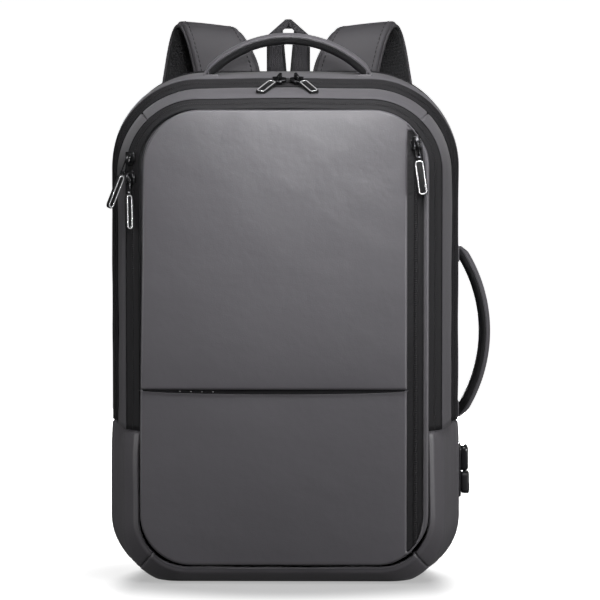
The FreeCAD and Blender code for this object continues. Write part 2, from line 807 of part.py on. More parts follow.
def make_port():
    """The charging port on the side of the boot: housing, socket shell and rubber cap."""
    housing = new_body("usb_housing")
    face = "dims.usb_face"
    half = "dims.usb_wide / 2"
    middle = "dims.usb_depth"
    plate = sketch_on(housing, "plate", "YZ_Plane", face)
    rounded_rectangle(plate, half, "dims.usb_low", "dims.usb_high", "dims.usb_radius", middle)
    pad(housing, plate, "dims.usb_plate")
    hood = sketch_on(housing, "hood", "YZ_Plane", face)
    hood_high = "dims.usb_high - dims.hood_inset"
    hood_half = f"{half} - dims.hood_inset"
    rounded_rectangle(hood, hood_half, "dims.hood_low", hood_high, "dims.hood_radius", middle)
    pad(housing, hood, "dims.hood_reach")
    hole = sketch_on(housing, "socket_hole", "YZ_Plane", face)
    low = "dims.socket_height - dims.socket_high / 2"
    high = "dims.socket_height + dims.socket_high / 2"
    left = f"{middle} - dims.socket_wide / 2"
    right = f"{middle} + dims.socket_wide / 2"
    rectangle(hole, left, right, low, high)
    cut(housing, hole, "12")
    doc.recompute()
    base = housing.Tip
    front = value(f"{face} + dims.hood_reach")
    names = [
        f"Edge{number}"
        for number, edge in enumerate(base.Shape.Edges, start=1)
        if edge_on_plane(edge, front)
    ]
    dome = housing.newObject("PartDesign::Fillet", "hood_dome")
    dome.Base = (base, names)
    dome.setExpression("Radius", "dims.hood_round")
    socket = new_body("usb_socket")
    shell = sketch_on(socket, "shell", "YZ_Plane", f"{face} + dims.usb_plate")
    rectangle(shell, left, right, low, high)
    wall = "dims.socket_wall"
    rectangle(shell, f"{left} + {wall}", f"{right} - {wall}", f"{low} + {wall}", f"{high} - {wall}")
    pad(socket, shell, "dims.socket_long", reverse=True)
    cap = new_body("usb_cap")
    lid = sketch_on(cap, "lid", "YZ_Plane", f"{face} + dims.usb_plate + dims.cap_gap")
    corner = "dims.cap_radius"
    rounded_rectangle(lid, "dims.cap_wide / 2", "dims.cap_low", "dims.cap_high", corner, middle)
    pad(cap, lid, "dims.cap_thick")


def edge_on_plane(edge, x):
    """True for an edge that lies wholly on the plane at that X."""
    return all(abs(vertex.X - x) < 0.01 for vertex in edge.Vertexes)


# ---------------------------------------------------------------- shoulder straps


# The middle line of one shoulder strap's outer face: out from the middle, depth, height, width.
STRAP_LINE = [
    (53, 79.5, 425, 56),
    (54, 80.5, 450, 57),
    (60, 83.5, 473, 54),
    (68, 92, 487, 50),
    (75, 103, 487, 50),
    (80, 112, 472, 54),
    (84, 115, 440, 60),
    (91, 112, 380, 64),
    (98, 105, 310, 62),
    (103, 98, 240, 52),
    (104, 94, 197, 40),
]
WEBBING_LINE = [
    (104, 91.5, 166, 25),
    (110, 86, 130, 25),
    (118, 79, 85, 25),
    (123, 76, 50, 25),
]


def ribbon_sections(line, inner, outer, sign):
    """Four corners at each station: level across, and two distances out from the middle line."""
    points = [Vector(sign * x, y, z) for x, y, z, wide in line]
    sections = []
    for index, centre in enumerate(points):
        before = points[max(index - 1, 0)]
        after = points[min(index + 1, len(line) - 1)]
        along = (after - before).normalize()
        outward = Vector(1, 0, 0).cross(along).normalize()
        side = Vector(line[index][3] / 2, 0, 0)
        low = centre + outward * inner
        high = centre + outward * outer
        sections.append([low - side, high - side, high + side, low + side])
    return sections


def flat_face(corners):
    return Part.Face(Part.makePolygon(corners + corners[:1]))


def ribbon(label, line, inner, outer, side):
    """A closed ribbon along a line: flat triangles between stations and a flat face at each end."""
    sign = -1 if side == "left" else 1
    sections = ribbon_sections(line, inner, outer, sign)
    faces = [flat_face(sections[0]), flat_face(sections[-1])]
    for near, far in zip(sections, sections[1:]):
        for corner in range(4):
            following = (corner + 1) % 4
            faces.append(flat_face([near[corner], near[following], far[corner]]))
            faces.append(flat_face([near[following], far[following], far[corner]]))
    shell = Part.makeShell(faces)
    shell.sewShape()
    shape = Part.makeSolid(shell)
    if shape.Volume < 0:
        shape = Part.makeSolid(shell.reversed())
    feature = doc.addObject("Part::Feature", label)
    feature.Label = label
    feature.Shape = shape
    parts.append(feature)


def make_lock(side):
    """The ladder lock at the end of a strap: a frame with two slots."""
    body = new_body(f"ladder_lock_{side}")
    sketch = sketch_on(body, "frame", "XZ_Plane")
    half = "dims.lock_wide / 2"
    rounded_rectangle(sketch, half, "-dims.lock_high", "0", "dims.lock_radius")
    bar = "dims.lock_bar"
    for level in range(2):
        top = f"-{bar} - {level} * (dims.lock_slot + {bar})"
        rectangle(sketch, f"-{half} + {bar}", f"{half} - {bar}", f"{top} - dims.lock_slot", top)
    pad(body, sketch, "dims.lock_thick", symmetric=True)
    sign = -1 if side == "left" else 1
    place = Vector(sign * dim("lock_out"), dim("lock_depth"), dim("lock_top"))
    body.Placement = FreeCAD.Placement(place, FreeCAD.Rotation())


def make_anchor(side):
    """A sewn tab at the foot of the back panel that holds the strap's webbing."""
    body = new_body(f"anchor_tab_{side}")
    sign = "-" if side == "left" else ""
    face = "dims.rearedge_depth + dims.back_thick + dims.patch_lift"
    sketch = sketch_on(body, "outline", "XZ_Plane", f"-({face})")
    corners = [
        (f"{sign}dims.anchor_outer", "dims.anchor_low"),
        (f"{sign}dims.anchor_outer", "dims.anchor_high - dims.anchor_drop"),
        (f"{sign}dims.anchor_middle", "dims.anchor_high"),
        (f"{sign}dims.anchor_inner", "dims.anchor_high"),
        (f"{sign}dims.anchor_inner", "dims.anchor_low"),
    ]
    polygon(sketch, corners)
    pad(body, sketch, "dims.patch_thick", reverse=True)


def make_straps():
    """Two padded shoulder straps with webbing, locks and anchors, and the yoke over their tops."""
    thick = dim("strap_thick")
    mesh = dim("mesh_thick")
    half_web = dim("webbing_thick") / 2
    for side in ("left", "right"):
        ribbon(f"shoulder_strap_{side}", STRAP_LINE, -thick / 2 + mesh, thick / 2, side)
        ribbon(f"strap_mesh_{side}", STRAP_LINE, -thick / 2, -thick / 2 + mesh, side)
        ribbon(f"adjuster_webbing_{side}", WEBBING_LINE, -half_web, half_web, side)
        make_lock(side)
        make_anchor(side)
    yoke = new_body("strap_yoke")
    face = "dims.rearedge_depth + dims.back_thick"
    sketch = sketch_on(yoke, "outline", "XZ_Plane", f"-({face})")
    low = "dims.pad_high + dims.yoke_gap"
    rounded_rectangle(sketch, "dims.yoke_half", low, "dims.yoke_high", "dims.yoke_radius")
    pad(yoke, sketch, "dims.patch_thick", reverse=True)


# ---------------------------------------------------------------- build, check and export


def check_all():
    """Stop if any object failed to build or any part has no valid solid."""
    for item in doc.Objects:
        if {"Invalid", "Error"} & set(item.State):
            raise RuntimeError(f"{item.Label} failed: {item.State}")
    for part in parts:
        if part.Shape.isNull() or not part.Shape.isValid() or not part.Shape.Solids:
            raise RuntimeError(f"{part.Label} has no valid solid")


def export_all():
    os.makedirs("parts", exist_ok=True)
    for part in parts:
        part.Shape.exportStep(f"parts/{part.Label}.step")


make_upper_walls()
make_coils()
make_boot()
make_boot_fold()
make_front()
make_divider()
make_back()
make_zip_runners()
make_handles()
make_hang_loop()
make_port()
make_straps()
doc.recompute()
check_all()
export_all()
for part in parts:
    box = part.Shape.BoundBox
    print(
        f"{part.Label:24s} {part.Shape.Volume / 1000:8.2f} cm3  "
        f"x {box.XMin:7.1f} {box.XMax:7.1f}  y {box.YMin:6.1f} {box.YMax:6.1f}  "
        f"z {box.ZMin:6.1f} {box.ZMax:6.1f}  solids {len(part.Shape.Solids)}"
    )
print(f"{len(parts)} nodes")
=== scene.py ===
import json
import math

import bmesh
import bpy
import numpy as np
from mathutils import Matrix, Vector, noise


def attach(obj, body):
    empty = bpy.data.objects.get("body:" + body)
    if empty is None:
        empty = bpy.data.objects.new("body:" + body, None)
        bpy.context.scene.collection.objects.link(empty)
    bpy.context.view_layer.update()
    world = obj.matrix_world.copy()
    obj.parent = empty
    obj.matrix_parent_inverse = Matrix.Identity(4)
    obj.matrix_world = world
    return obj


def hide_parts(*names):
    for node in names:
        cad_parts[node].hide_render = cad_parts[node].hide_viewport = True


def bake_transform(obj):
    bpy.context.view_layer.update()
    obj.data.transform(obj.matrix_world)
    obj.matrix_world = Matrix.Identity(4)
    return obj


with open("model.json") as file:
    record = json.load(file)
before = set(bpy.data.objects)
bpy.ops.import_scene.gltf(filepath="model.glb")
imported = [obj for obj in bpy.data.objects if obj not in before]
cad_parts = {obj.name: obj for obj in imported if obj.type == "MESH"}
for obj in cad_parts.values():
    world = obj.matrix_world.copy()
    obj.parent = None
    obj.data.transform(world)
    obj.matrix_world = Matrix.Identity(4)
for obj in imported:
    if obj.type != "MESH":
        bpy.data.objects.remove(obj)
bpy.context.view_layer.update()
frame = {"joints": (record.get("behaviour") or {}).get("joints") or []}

# A grey laptop backpack that stands on its base. Metres. +X is the side with the grab handle and
# the charging port, +Y runs towards the shoulder straps, +Z is up.

# Where the joints turn; the pieces that move are built round these places.
JOINT = {joint["name"]: joint.get("pos_m") for joint in frame["joints"]}

# Depth, half width, low edge, high edge and corner radii (upper, lower) of the bag's outlines.
STATIONS = np.array([
    (-66, 126, 17, 415.8, 50, 45),
    (-64.5, 127, 16, 417.2, 51.5, 45.3),
    (-56, 137.3, 3, 424, 62, 47),
    (-55.5, 137.8, 0, 424.4, 63, 47),
    (-8.4, 148.3, 0, 434.3, 74, 50),
    (-8, 148.6, 0, 434.7, 74.5, 50),
    (-1.4, 151.2, 0, 438.4, 76, 51.5),
    (-1, 151.4, 0, 438.7, 76, 51.5),
    (5.6, 154.2, 0, 442.4, 78, 53),
    (6, 154.5, 0, 442.6, 78.5, 53),
    (62, 152.5, 0, 448.5, 80, 53),
    (70, 152.5, 0, 448.5, 80, 53),
]) / 1000
PANEL_Y = -0.066
HINGE_Y, HINGE_Z = JOINT["main_door_hinge"][1:]
SEAM_SLOPE = 4 / 71
MOUTH_Z = 0.169
FACE_HALF = 0.126
FACE_LOW = 0.017
FACE_HIGH = 0.4158
ZIP_LEFT = 0.1077
ZIP_RIGHT = 0.1229
ZIP_LOW = 0.0297
ZIP_HIGH = 0.3973
ZIP_MIDDLE = 0.11515

# ---------------------------------------------------------------- materials


def shader(name, colour, rough, metallic=0.0, specular=0.5):
    """A plain principled material; returns the material, its nodes and the shader."""
    material = bpy.data.materials.new(name)
    material.use_nodes = True
    tree = material.node_tree
    surface = tree.nodes["Principled BSDF"]
    surface.inputs["Base Color"].default_value = (*colour, 1)
    surface.inputs["Roughness"].default_value = rough
    surface.inputs["Metallic"].default_value = metallic
    surface.inputs["Specular IOR Level"].default_value = specular
    return material, tree, surface


def node(tree, kind, **settings):
    """A new shader node with some of its settings."""
    made = tree.nodes.new(kind)
    for name, setting in settings.items():
        setattr(made, name, setting)
    return made


def maths(tree, operation, *operands):
    """One arithmetic node; each operand is a socket or a number."""
    made = node(tree, "ShaderNodeMath", operation=operation)
    for index, item in enumerate(operands):
        if isinstance(item, (int, float)):
            made.inputs[index].default_value = item
        else:
            tree.links.new(item, made.inputs[index])
    return made.outputs[0]


def bump(tree, surface, height, distance, strength=1.0):
    """Raise the surface by a height from 0 to 1 times a distance, over any bump already there."""
    made = node(tree, "ShaderNodeBump")
    made.inputs["Strength"].default_value = strength
    made.inputs["Distance"].default_value = distance
    tree.links.new(height, made.inputs["Height"])
    before = surface.inputs["Normal"].links
    if before:
        tree.links.new(before[0].from_socket, made.inputs["Normal"])
    tree.links.new(made.outputs[0], surface.inputs["Normal"])


def grain(tree, surface, scale, distance, detail=2.0):
    """Fine noise relief."""
    place = node(tree, "ShaderNodeTexCoord")
    texture = node(tree, "ShaderNodeTexNoise")
    texture.inputs["Scale"].default_value = scale
    texture.inputs["Detail"].default_value = detail
    tree.links.new(place.outputs["Object"], texture.inputs["Vector"])
    bump(tree, surface, texture.outputs[0], distance)


def weave_axes(tree):
    """The distances along and across a piece of cloth, from its weave attribute."""
    attribute = node(tree, "ShaderNodeAttribute", attribute_name="weave")
    split = node(tree, "ShaderNodeSeparateXYZ")
    tree.links.new(attribute.outputs["Vector"], split.inputs[0])
    return split.outputs[0], split.outputs[1]


def wave(tree, distance, period):
    """A ripple from 0 to 1 with that period."""
    angle = maths(tree, "MULTIPLY", distance, 2 * math.pi / period)
    return maths(tree, "MULTIPLY_ADD", maths(tree, "SINE", angle), 0.5, 0.5)


def coated_cloth(name, colour, rough, shine=0.42):
    """Cloth with a soft matt coating and a fine leathery grain."""
    material, tree, surface = shader(name, colour, rough, specular=shine)
    surface.inputs["Sheen Weight"].default_value = 0.25 * shine
    surface.inputs["Sheen Roughness"].default_value = 0.45
    grain(tree, surface, 900, 0.00008, 3)
    grain(tree, surface, 60, 0.0004)
    return material


def ribbed_cloth(name, colour, rough, period, depth, twill=0.0):
    """Tape or webbing: ribs along its length, and a finer cross weave if twill is set."""
    material, tree, surface = shader(name, colour, rough, specular=0.25)
    along, across = weave_axes(tree)
    bump(tree, surface, wave(tree, across, period), depth)
    if twill:
        slant = maths(tree, "ADD", along, across)
        bump(tree, surface, wave(tree, slant, twill), depth * 0.7)
    return material


def mesh_cloth(name, colour, cell):
    """Spacer mesh: rows of small round holes."""
    material, tree, surface = shader(name, colour, 0.85, specular=0.25)
    along, across = weave_axes(tree)
    rows = wave(tree, along, cell)
    columns = wave(tree, across, cell * 0.8)
    holes = maths(tree, "MULTIPLY", rows, columns)
    dark = maths(tree, "SUBTRACT", 1.0, holes)
    bump(tree, surface, dark, 0.0008)
    surface.inputs["Sheen Weight"].default_value = 0.05
    return material


def emit(surface, colour, strength):
    """Let a shader give off some light of its own."""
    surface.inputs["Emission Color"].default_value = (*colour, 1)
    surface.inputs["Emission Strength"].default_value = strength


# Name, colour, roughness, metallic and specular level.
PLAIN = {
    "coil": ("zip_coil_black", (0.016, 0.0155, 0.017), 0.5, 0, 0.3),
    "thread": ("thread_grey", (0.10, 0.096, 0.105), 0.7),
    "thread_dark": ("thread_black", (0.008, 0.008, 0.009), 0.8, 0, 0.2),
    "thread_pale": ("thread_pale", (0.45, 0.44, 0.45), 0.6),
    "metal": ("slider_black", (0.03, 0.03, 0.032), 0.16, 0.8),
    "rubber": ("pull_rubber", (0.006, 0.006, 0.0065), 0.6, 0, 0.25),
    "plastic": ("buckle_black", (0.014, 0.014, 0.015), 0.38),
    "port": ("port_gloss", (0.016, 0.016, 0.018), 0.18),
    "steel": ("port_steel", (0.55, 0.55, 0.57), 0.25, 1),
    "cap": ("port_rubber", (0.014, 0.014, 0.016), 0.5),
    "tongue": ("port_tongue", (0.75, 0.76, 0.78), 0.5),
}


def make_materials():
    """Every material, under the short name that the pieces ask for."""
    made = {
        "shell": coated_cloth("shell_grey", (0.090, 0.086, 0.095), 0.42),
        "boot": coated_cloth("shell_grey_base", (0.084, 0.080, 0.088), 0.46),
        "strap": coated_cloth("strap_grey", (0.040, 0.038, 0.042), 0.62, 0.25),
        "tape": ribbed_cloth("zip_tape_dark", (0.014, 0.0135, 0.015), 0.62, 0.0011, 0.0002),
        "tape_black": ribbed_cloth("zip_tape_black", (0.012, 0.0115, 0.013), 0.6, 0.0011, 0.0002),
        "webbing": ribbed_cloth("webbing_dark", (0.028, 0.027, 0.030), 0.75, 0.0019, 0.0003, 0.0016),
        "under": ribbed_cloth("handle_under", (0.012, 0.0118, 0.013), 0.7, 0.0016, 0.0002, 0.002),
        "mesh": mesh_cloth("mesh_black", (0.010, 0.010, 0.011), 0.0032),
        "lining": coated_cloth("lining_charcoal", (0.035, 0.035, 0.038), 0.8),
    }
    for key, look in PLAIN.items():
        made[key] = shader(*look)[0]
    made["rim"], _, surface = shader("pull_silver_painted_glow", (0.86, 0.86, 0.88), 0.25, 0.9)
    # The silver rim also glows faintly: a painted highlight that keeps its outline bright.
    emit(surface, (0.9, 0.9, 0.92), 0.3)
    return made


M = make_materials()

# ---------------------------------------------------------------- meshes

# Placements that stand a flat outline up: its X and Y become X and Z, or Y and Z.
UPRIGHT = Matrix(((1, 0, 0, 0), (0, 0, -1, 0), (0, 1, 0, 0), (0, 0, 0, 1)))
SIDEWAYS = Matrix(((0, 0, 1, 0), (1, 0, 0, 0), (0, 1, 0, 0), (0, 0, 0, 1)))
SHARP = 0.9  # edges of a plate that turn by more than this, in radians, are rounded
BEAD_SIDES = 6


def link_object(name, data):
    """A new object in the scene."""
    made = bpy.data.objects.new(name, data)
    bpy.context.collection.objects.link(made)
    return made


def set_weave(mesh, weave):
    """Record the distances along and across the cloth at each point."""
    attribute = mesh.attributes.get("weave") or mesh.attributes.new("weave", "FLOAT_VECTOR", "POINT")
    attribute.data.foreach_set("vector", np.asarray(weave, dtype=np.float32).ravel())


def new_object(name, points, faces, material, weave=None, smooth=True):
    """A mesh object with one material, and its weave distances if given."""
    mesh = bpy.data.meshes.new(name)
    mesh.from_pydata([tuple(p) for p in points], [], [tuple(int(i) for i in f) for f in faces])
    mesh.validate()
    shape = bmesh.new()
    shape.from_mesh(mesh)
    bmesh.ops.recalc_face_normals(shape, faces=shape.faces[:])
    shape.to_mesh(mesh)
    shape.free()
    mesh.materials.append(M[material])
    if weave is not None:
        set_weave(mesh, weave)
    if smooth:
        mesh.shade_smooth()
    made = link_object(name, mesh)
    return made


def grid_normals(points):
    """Unit normals of a grid of points, rows by columns."""
    normals = np.cross(np.gradient(points, axis=1), np.gradient(points, axis=0))
    size = np.linalg.norm(normals, axis=2, keepdims=True)
    return normals / np.maximum(size, 1e-12)


def distances(points, axis):
    """Running length along one axis of a grid, measured from its start."""
    steps = np.linalg.norm(np.diff(points, axis=axis), axis=2)
    length = np.cumsum(steps, axis=axis)
    pad = [(0, 0), (0, 0)]
    pad[axis] = (1, 0)
    return np.pad(length, pad)


def quads(rows, columns, start=0, flip=False, wrap=False):
    """Faces of a grid of points, row by row."""
    faces = []
    for row in range(rows - 1):
        for column in range(columns if wrap else columns - 1):
            right = (column + 1) % columns
            a, b = start + row * columns + column, start + row * columns + right
            c, d = b + columns, a + columns
            faces.append((a, d, c, b) if flip else (a, b, c, d))
    return faces


def sheet_mesh(name, points, thick, material, flip=False):
    """A grid of points as cloth of some thickness; the grid is its outer face."""
    rows, columns = points.shape[:2]
    normals = grid_normals(points)
    if flip:
        normals = -normals
    inner = points - normals * thick
    count = rows * columns
    faces = quads(rows, columns, 0, flip)
    faces += quads(rows, columns, count, not flip)
    ring = [(0, c) for c in range(columns)]
    ring += [(r, columns - 1) for r in range(1, rows)]
    ring += [(rows - 1, c) for c in range(columns - 2, -1, -1)]
    ring += [(r, 0) for r in range(rows - 2, 0, -1)]
    for here, there in zip(ring, ring[1:] + ring[:1]):
        a = here[0] * columns + here[1]
        b = there[0] * columns + there[1]
        faces.append((b, a, a + count, b + count) if not flip else (a, b, b + count, a + count))
    weave = np.stack([distances(points, 1), distances(points, 0), np.zeros((rows, columns))], axis=2)
    flat = np.concatenate([points.reshape(-1, 3), inner.reshape(-1, 3)])
    weaves = np.concatenate([weave.reshape(-1, 3)] * 2)
    return new_object(name, flat, faces, material, weaves)


def frames(path, up):
    """Tangent, side and normal at each point of a path, the normal kept near up."""
    path = np.asarray(path, dtype=float)
    tangent = np.gradient(path, axis=0)
    tangent /= np.linalg.norm(tangent, axis=1, keepdims=True)
    up = np.broadcast_to(np.asarray(up, dtype=float), path.shape)
    side = np.cross(tangent, up)
    side /= np.linalg.norm(side, axis=1, keepdims=True)
    return tangent, side, np.cross(side, tangent)


def tube(name, points, flip, closed, material):
    """A skin over a run of sections, with a fan over each end unless it is closed."""
    if closed:
        points = np.concatenate([points, points[:1]])
    count, around = points.shape[:2]
    faces = quads(count, around, 0, flip, True)
    flat = list(points.reshape(-1, 3))
    weave = [(a, g, 0) for a, g in zip(distances(points, 0).ravel(), distances(points, 1).ravel())]
    for end in () if closed else (0, count - 1):
        middle = len(flat)
        flat.append(points[end].mean(axis=0))
        weave.append((0, 0, 0))
        for k in range(around):
            a, b = end * around + k, end * around + (k + 1) % around
            faces.append((b, a, middle) if (end == 0) != flip else (a, b, middle))
    return new_object(name, flat, faces, material, weave)


def sweep(name, path, up, section, material, closed=False):
    """A section swept along a path; section holds, or gives at each index, its side and normal offsets."""
    path = np.asarray(path, dtype=float)
    _, side, normal = closed_frames(path, up) if closed else frames(path, up)
    rows = []
    for index, centre in enumerate(path):
        offsets = section(index) if callable(section) else section
        rows.append(centre + offsets[:, :1] * side[index] + offsets[:, 1:] * normal[index])
    return tube(name, np.array(rows), True, closed, material)


def closed_frames(path, up):
    """Frames of a path whose end meets its start."""
    wide = np.concatenate([path[-1:], path, path[:1]])
    tangent, side, normal = frames(wide, up)
    return tangent[1:-1], side[1:-1], normal[1:-1]


def oval(half_wide, half_thick, count=20, power=2.0):
    """A rounded section; a higher power is squarer."""
    angles = np.linspace(0, 2 * np.pi, count, endpoint=False)
    x = np.sign(np.cos(angles)) * np.abs(np.cos(angles)) ** (2 / power) * half_wide
    y = np.sign(np.sin(angles)) * np.abs(np.sin(angles)) ** (2 / power) * half_thick
    return np.stack([x, y], axis=1)


def run_length(line):
    """Running length at each point of a line."""
    return np.concatenate([[0], np.cumsum(np.linalg.norm(np.diff(line, axis=0), axis=1))])


def sample(spots, run, values):
    """Values along a line, read off at some spots of its running length."""
    return np.stack([np.interp(spots, run, column) for column in values.T], axis=-1)


def smooth_line(points, count):
    """A smooth line through points, evenly spaced."""
    points = np.asarray(points, dtype=float)
    ends = np.concatenate([[2 * points[0] - points[1]], points, [2 * points[-1] - points[-2]]])
    line = []
    for k in range(1, len(ends) - 2):
        p0, p1, p2, p3 = ends[k - 1 : k + 3]
        for t in np.linspace(0, 1, 24, endpoint=False):
            line.append(0.5 * (2 * p1 + (p2 - p0) * t + (2 * p0 - 5 * p1 + 4 * p2 - p3) * t**2
                               + (3 * p1 - p0 - 3 * p2 + p3) * t**3))
    line.append(points[-1])
    line = np.array(line)
    run = run_length(line[:, :3])
    return sample(np.linspace(0, run[-1], count), run, line)


def read_out(shape, place):
    """The points and faces of a finished shape, which is then freed."""
    points = [place @ v.co for v in shape.verts]
    faces = [[v.index for v in f.verts] for f in shape.faces]
    shape.free()
    return points, faces


def block(size, bevel, at=(0, 0, 0), place=Matrix()):
    """A bevelled block, centred on a spot of a placement."""
    shape = bmesh.new()
    bmesh.ops.create_cube(shape, size=1, matrix=Matrix.Diagonal((*size, 1)))
    bmesh.ops.bevel(shape, geom=shape.edges[:], offset=bevel, segments=3, affect="EDGES", profile=0.5)
    return read_out(shape, place @ Matrix.Translation(at))


def merge(name, shapes, material, smooth=True):
    """One object from several sets of points and faces."""
    points, faces = [], []
    for more_points, more_faces in shapes:
        start = len(points)
        points += list(more_points)
        faces += [[i + start for i in f] for f in more_faces]
    return new_object(name, points, faces, material, smooth=smooth)


def prism(outline, low, high, place=Matrix(), holes=(), bevel=0.0004):
    """A flat plate with rounded edges: its outline in X and Y, from low to high in Z."""
    shape = bmesh.new()
    edges = []
    for loop in (outline, *holes):
        corners = [shape.verts.new((x, y, low)) for x, y in loop]
        edges += [shape.edges.new((a, b)) for a, b in zip(corners, corners[1:] + corners[:1])]
    bmesh.ops.triangle_fill(shape, edges=edges, use_beauty=True, normal=(0, 0, 1))
    if not holes:
        bmesh.ops.dissolve_faces(shape, faces=shape.faces[:])
    grown = bmesh.ops.extrude_face_region(shape, geom=shape.faces[:])
    top = [item for item in grown["geom"] if isinstance(item, bmesh.types.BMVert)]
    bmesh.ops.translate(shape, verts=top, vec=(0, 0, high - low))
    bmesh.ops.recalc_face_normals(shape, faces=shape.faces[:])
    rims = [e for e in shape.edges if len(e.link_faces) == 2 and e.calc_face_angle(0) > SHARP]
    if bevel:
        bmesh.ops.bevel(shape, geom=rims, offset=bevel, segments=2, affect="EDGES", profile=0.5)
    return read_out(shape, place)


def plate(name, outline, low, high, place, material, slot, holes=(), bevel=0.0004):
    """One object from one flat plate."""
    return merge(name, [prism(outline, low, high, place, holes, bevel)], material)


def rounded(half_x, half_y, radius, cx=0.0, cy=0.0, steps=8):
    """Corners of a rounded rectangle, anticlockwise."""
    corners = []
    for k, (sx, sy) in enumerate(((1, 1), (-1, 1), (-1, -1), (1, -1))):
        for a in np.linspace(0, np.pi / 2, steps) + k * np.pi / 2:
            x = cx + sx * (half_x - radius) + radius * math.cos(a)
            y = cy + sy * (half_y - radius) + radius * math.sin(a)
            corners.append((x, y))
    return corners


def add_bead(points, faces, rings):
    """Add a short capped tube; each ring is a middle and its two half axes."""
    first = len(points)
    for middle, across, upward in rings:
        for a in np.linspace(0, 2 * np.pi, BEAD_SIDES, endpoint=False):
            points.append(middle + math.cos(a) * across + math.sin(a) * upward)
    start = range(first, first + BEAD_SIDES)
    end = range(len(points) - BEAD_SIDES, len(points))
    faces += quads(len(rings), BEAD_SIDES, first, True, True)
    faces += [tuple(start), tuple(reversed(end))]


def stitches(name, path, normals, material="thread", long=0.0027, gap=0.0016):
    """A row of stitches laid along a path on a surface."""
    wide, lift = 0.00035, 0.0001
    path = np.asarray(path, dtype=float)
    normals = np.asarray(normals, dtype=float)
    run = run_length(path)
    points, faces = [], []
    for start in np.arange(gap, run[-1] - long, long + gap):
        spots = start + long * np.array([0, 0.2, 0.5, 0.8, 1])
        centre = sample(spots, run, path)
        up = sample(spots, run, normals)
        up /= np.linalg.norm(up, axis=1, keepdims=True)
        direction = centre[-1] - centre[0]
        side = np.cross(direction / np.linalg.norm(direction), up)
        rise = np.array([-0.5, 0.7, 1.0, 0.7, -0.5]) * wide + lift
        add_bead(points, faces, list(zip(centre + up * rise[:, None], wide * side, 0.7 * wide * up)))
    return new_object(name, points, faces, material)


def wrinkle(points, normals, height, scale, seed, stretch=(1, 1, 1)):
    """Faint folds pressed into a grid of points."""
    offset = Vector((seed * 7.1, seed * 3.7, seed * 1.9))
    out = points.copy()
    for row in range(points.shape[0]):
        for column in range(points.shape[1]):
            p = points[row, column]
            spot = Vector((p[0] * stretch[0], p[1] * stretch[1], p[2] * stretch[2])) * scale
            out[row, column] += normals[row, column] * height * noise.noise(spot + offset)
    return out


# ---------------------------------------------------------------- walls of the bag


def station(y, soft=0.0):
    """Half width, low, high and corner radii at a depth; soft rounds off the kinks along Y."""
    spots = np.array([y]) if not soft else y + soft * np.linspace(-1, 1, 7)
    return [np.interp(spots, STATIONS[:, 0], STATIONS[:, k]).mean() for k in range(1, 6)]


def seam_z(y):
    """Height of the seam between boot and body at a depth."""
    return HINGE_Z + min(y - HINGE_Y, 0) * SEAM_SLOPE


SIDE = np.linspace(0, 1, 48)
LEVEL = np.linspace(0, 1, 40)
CORNER = np.unique(np.concatenate([np.linspace(0, 1, 33), 0.5 + np.linspace(-0.02, 0.02, 17)]))


def span(half, radius):
    """X of the points of an arch or a tub, from the left side to the right side."""
    a = CORNER[1:] * np.pi / 2
    return np.concatenate([np.full(len(SIDE), -half), radius - half - radius * np.cos(a),
                           (half - radius) * (2 * LEVEL[1:] - 1), half - radius + radius * np.sin(a),
                           np.full(len(SIDE) - 1, half)])


def arch(y, soft=0.0):
    """Points above the boot seam, from the left side over the top to the right side."""
    half, _, high, radius, _ = station(y, soft)
    base = seam_z(y)
    rise = base + (high - radius - base) * SIDE
    a = CORNER[1:] * np.pi / 2
    bow = high + 0.001 * np.sin(LEVEL[1:] * np.pi) ** 2
    z = [rise, high - radius + radius * np.sin(a), bow, high - radius + radius * np.cos(a), rise[::-1][1:]]
    return span(half, radius), np.concatenate(z)


def tub(y, soft=0.0):
    """Points below the boot seam, from the left side under the base to the right side."""
    half, low, _, _, foot = station(y, soft)
    top = seam_z(y)
    drop = top + (low + foot - top) * SIDE**1.3
    a = CORNER[1:] * np.pi / 2
    z = [drop, low + foot - foot * np.sin(a), np.full(len(LEVEL) - 1, low),
         low + foot - foot * np.cos(a), drop[::-1][1:]]
    return span(half, foot), np.concatenate(z)


LEFT_DIAGONAL = len(SIDE) - 1 + int(np.argmin(np.abs(CORNER - 0.5)))
RIGHT_DIAGONAL = len(SIDE) + len(CORNER) + len(LEVEL) - 3 + int(np.argmin(np.abs(CORNER - 0.5)))


def wall_grid(shape, depths, soft=0.0):
    """An arch or a tub at each of some depths."""
    rows = []
    for y in depths:
        x, z = shape(y, soft)
        rows.append(np.stack([x, np.full(len(x), y), z], axis=1))
    return np.array(rows)


def outward(points, shape):
    """Normals that point out of the bag."""
    normals = grid_normals(points)
    return normals if shape is arch else -normals


def dense(start, end, count):
    """Values from start to end, closer together near both ends."""
    a = np.linspace(0, np.pi, count)
    return start + (end - start) * (1 - np.cos(a)) / 2


def groove(distance, depth, width):
    """A soft dent round a line at distance zero."""
    return -depth * np.exp(-((distance / width) ** 2))


def puff(points, crown, edge_depth, edge_width):
    """Swell a band between its two long edges and turn the edges in."""
    out = distances(points, 0)
    back = out[-1:] - out
    lift = crown * (1 - (2 * out / out[-1:] - 1) ** 2)
    return lift + groove(out, edge_depth, edge_width) + groove(back, edge_depth, edge_width)


def diagonal_seams(points, depth=0.0014, width=0.0008):
    """Grooves across a band at the middle of its two corners."""
    along = distances(points, 1)
    lift = 0
    for column in (LEFT_DIAGONAL, RIGHT_DIAGONAL):
        lift = lift + groove(along - along[:, column : column + 1], depth, width)
    return lift


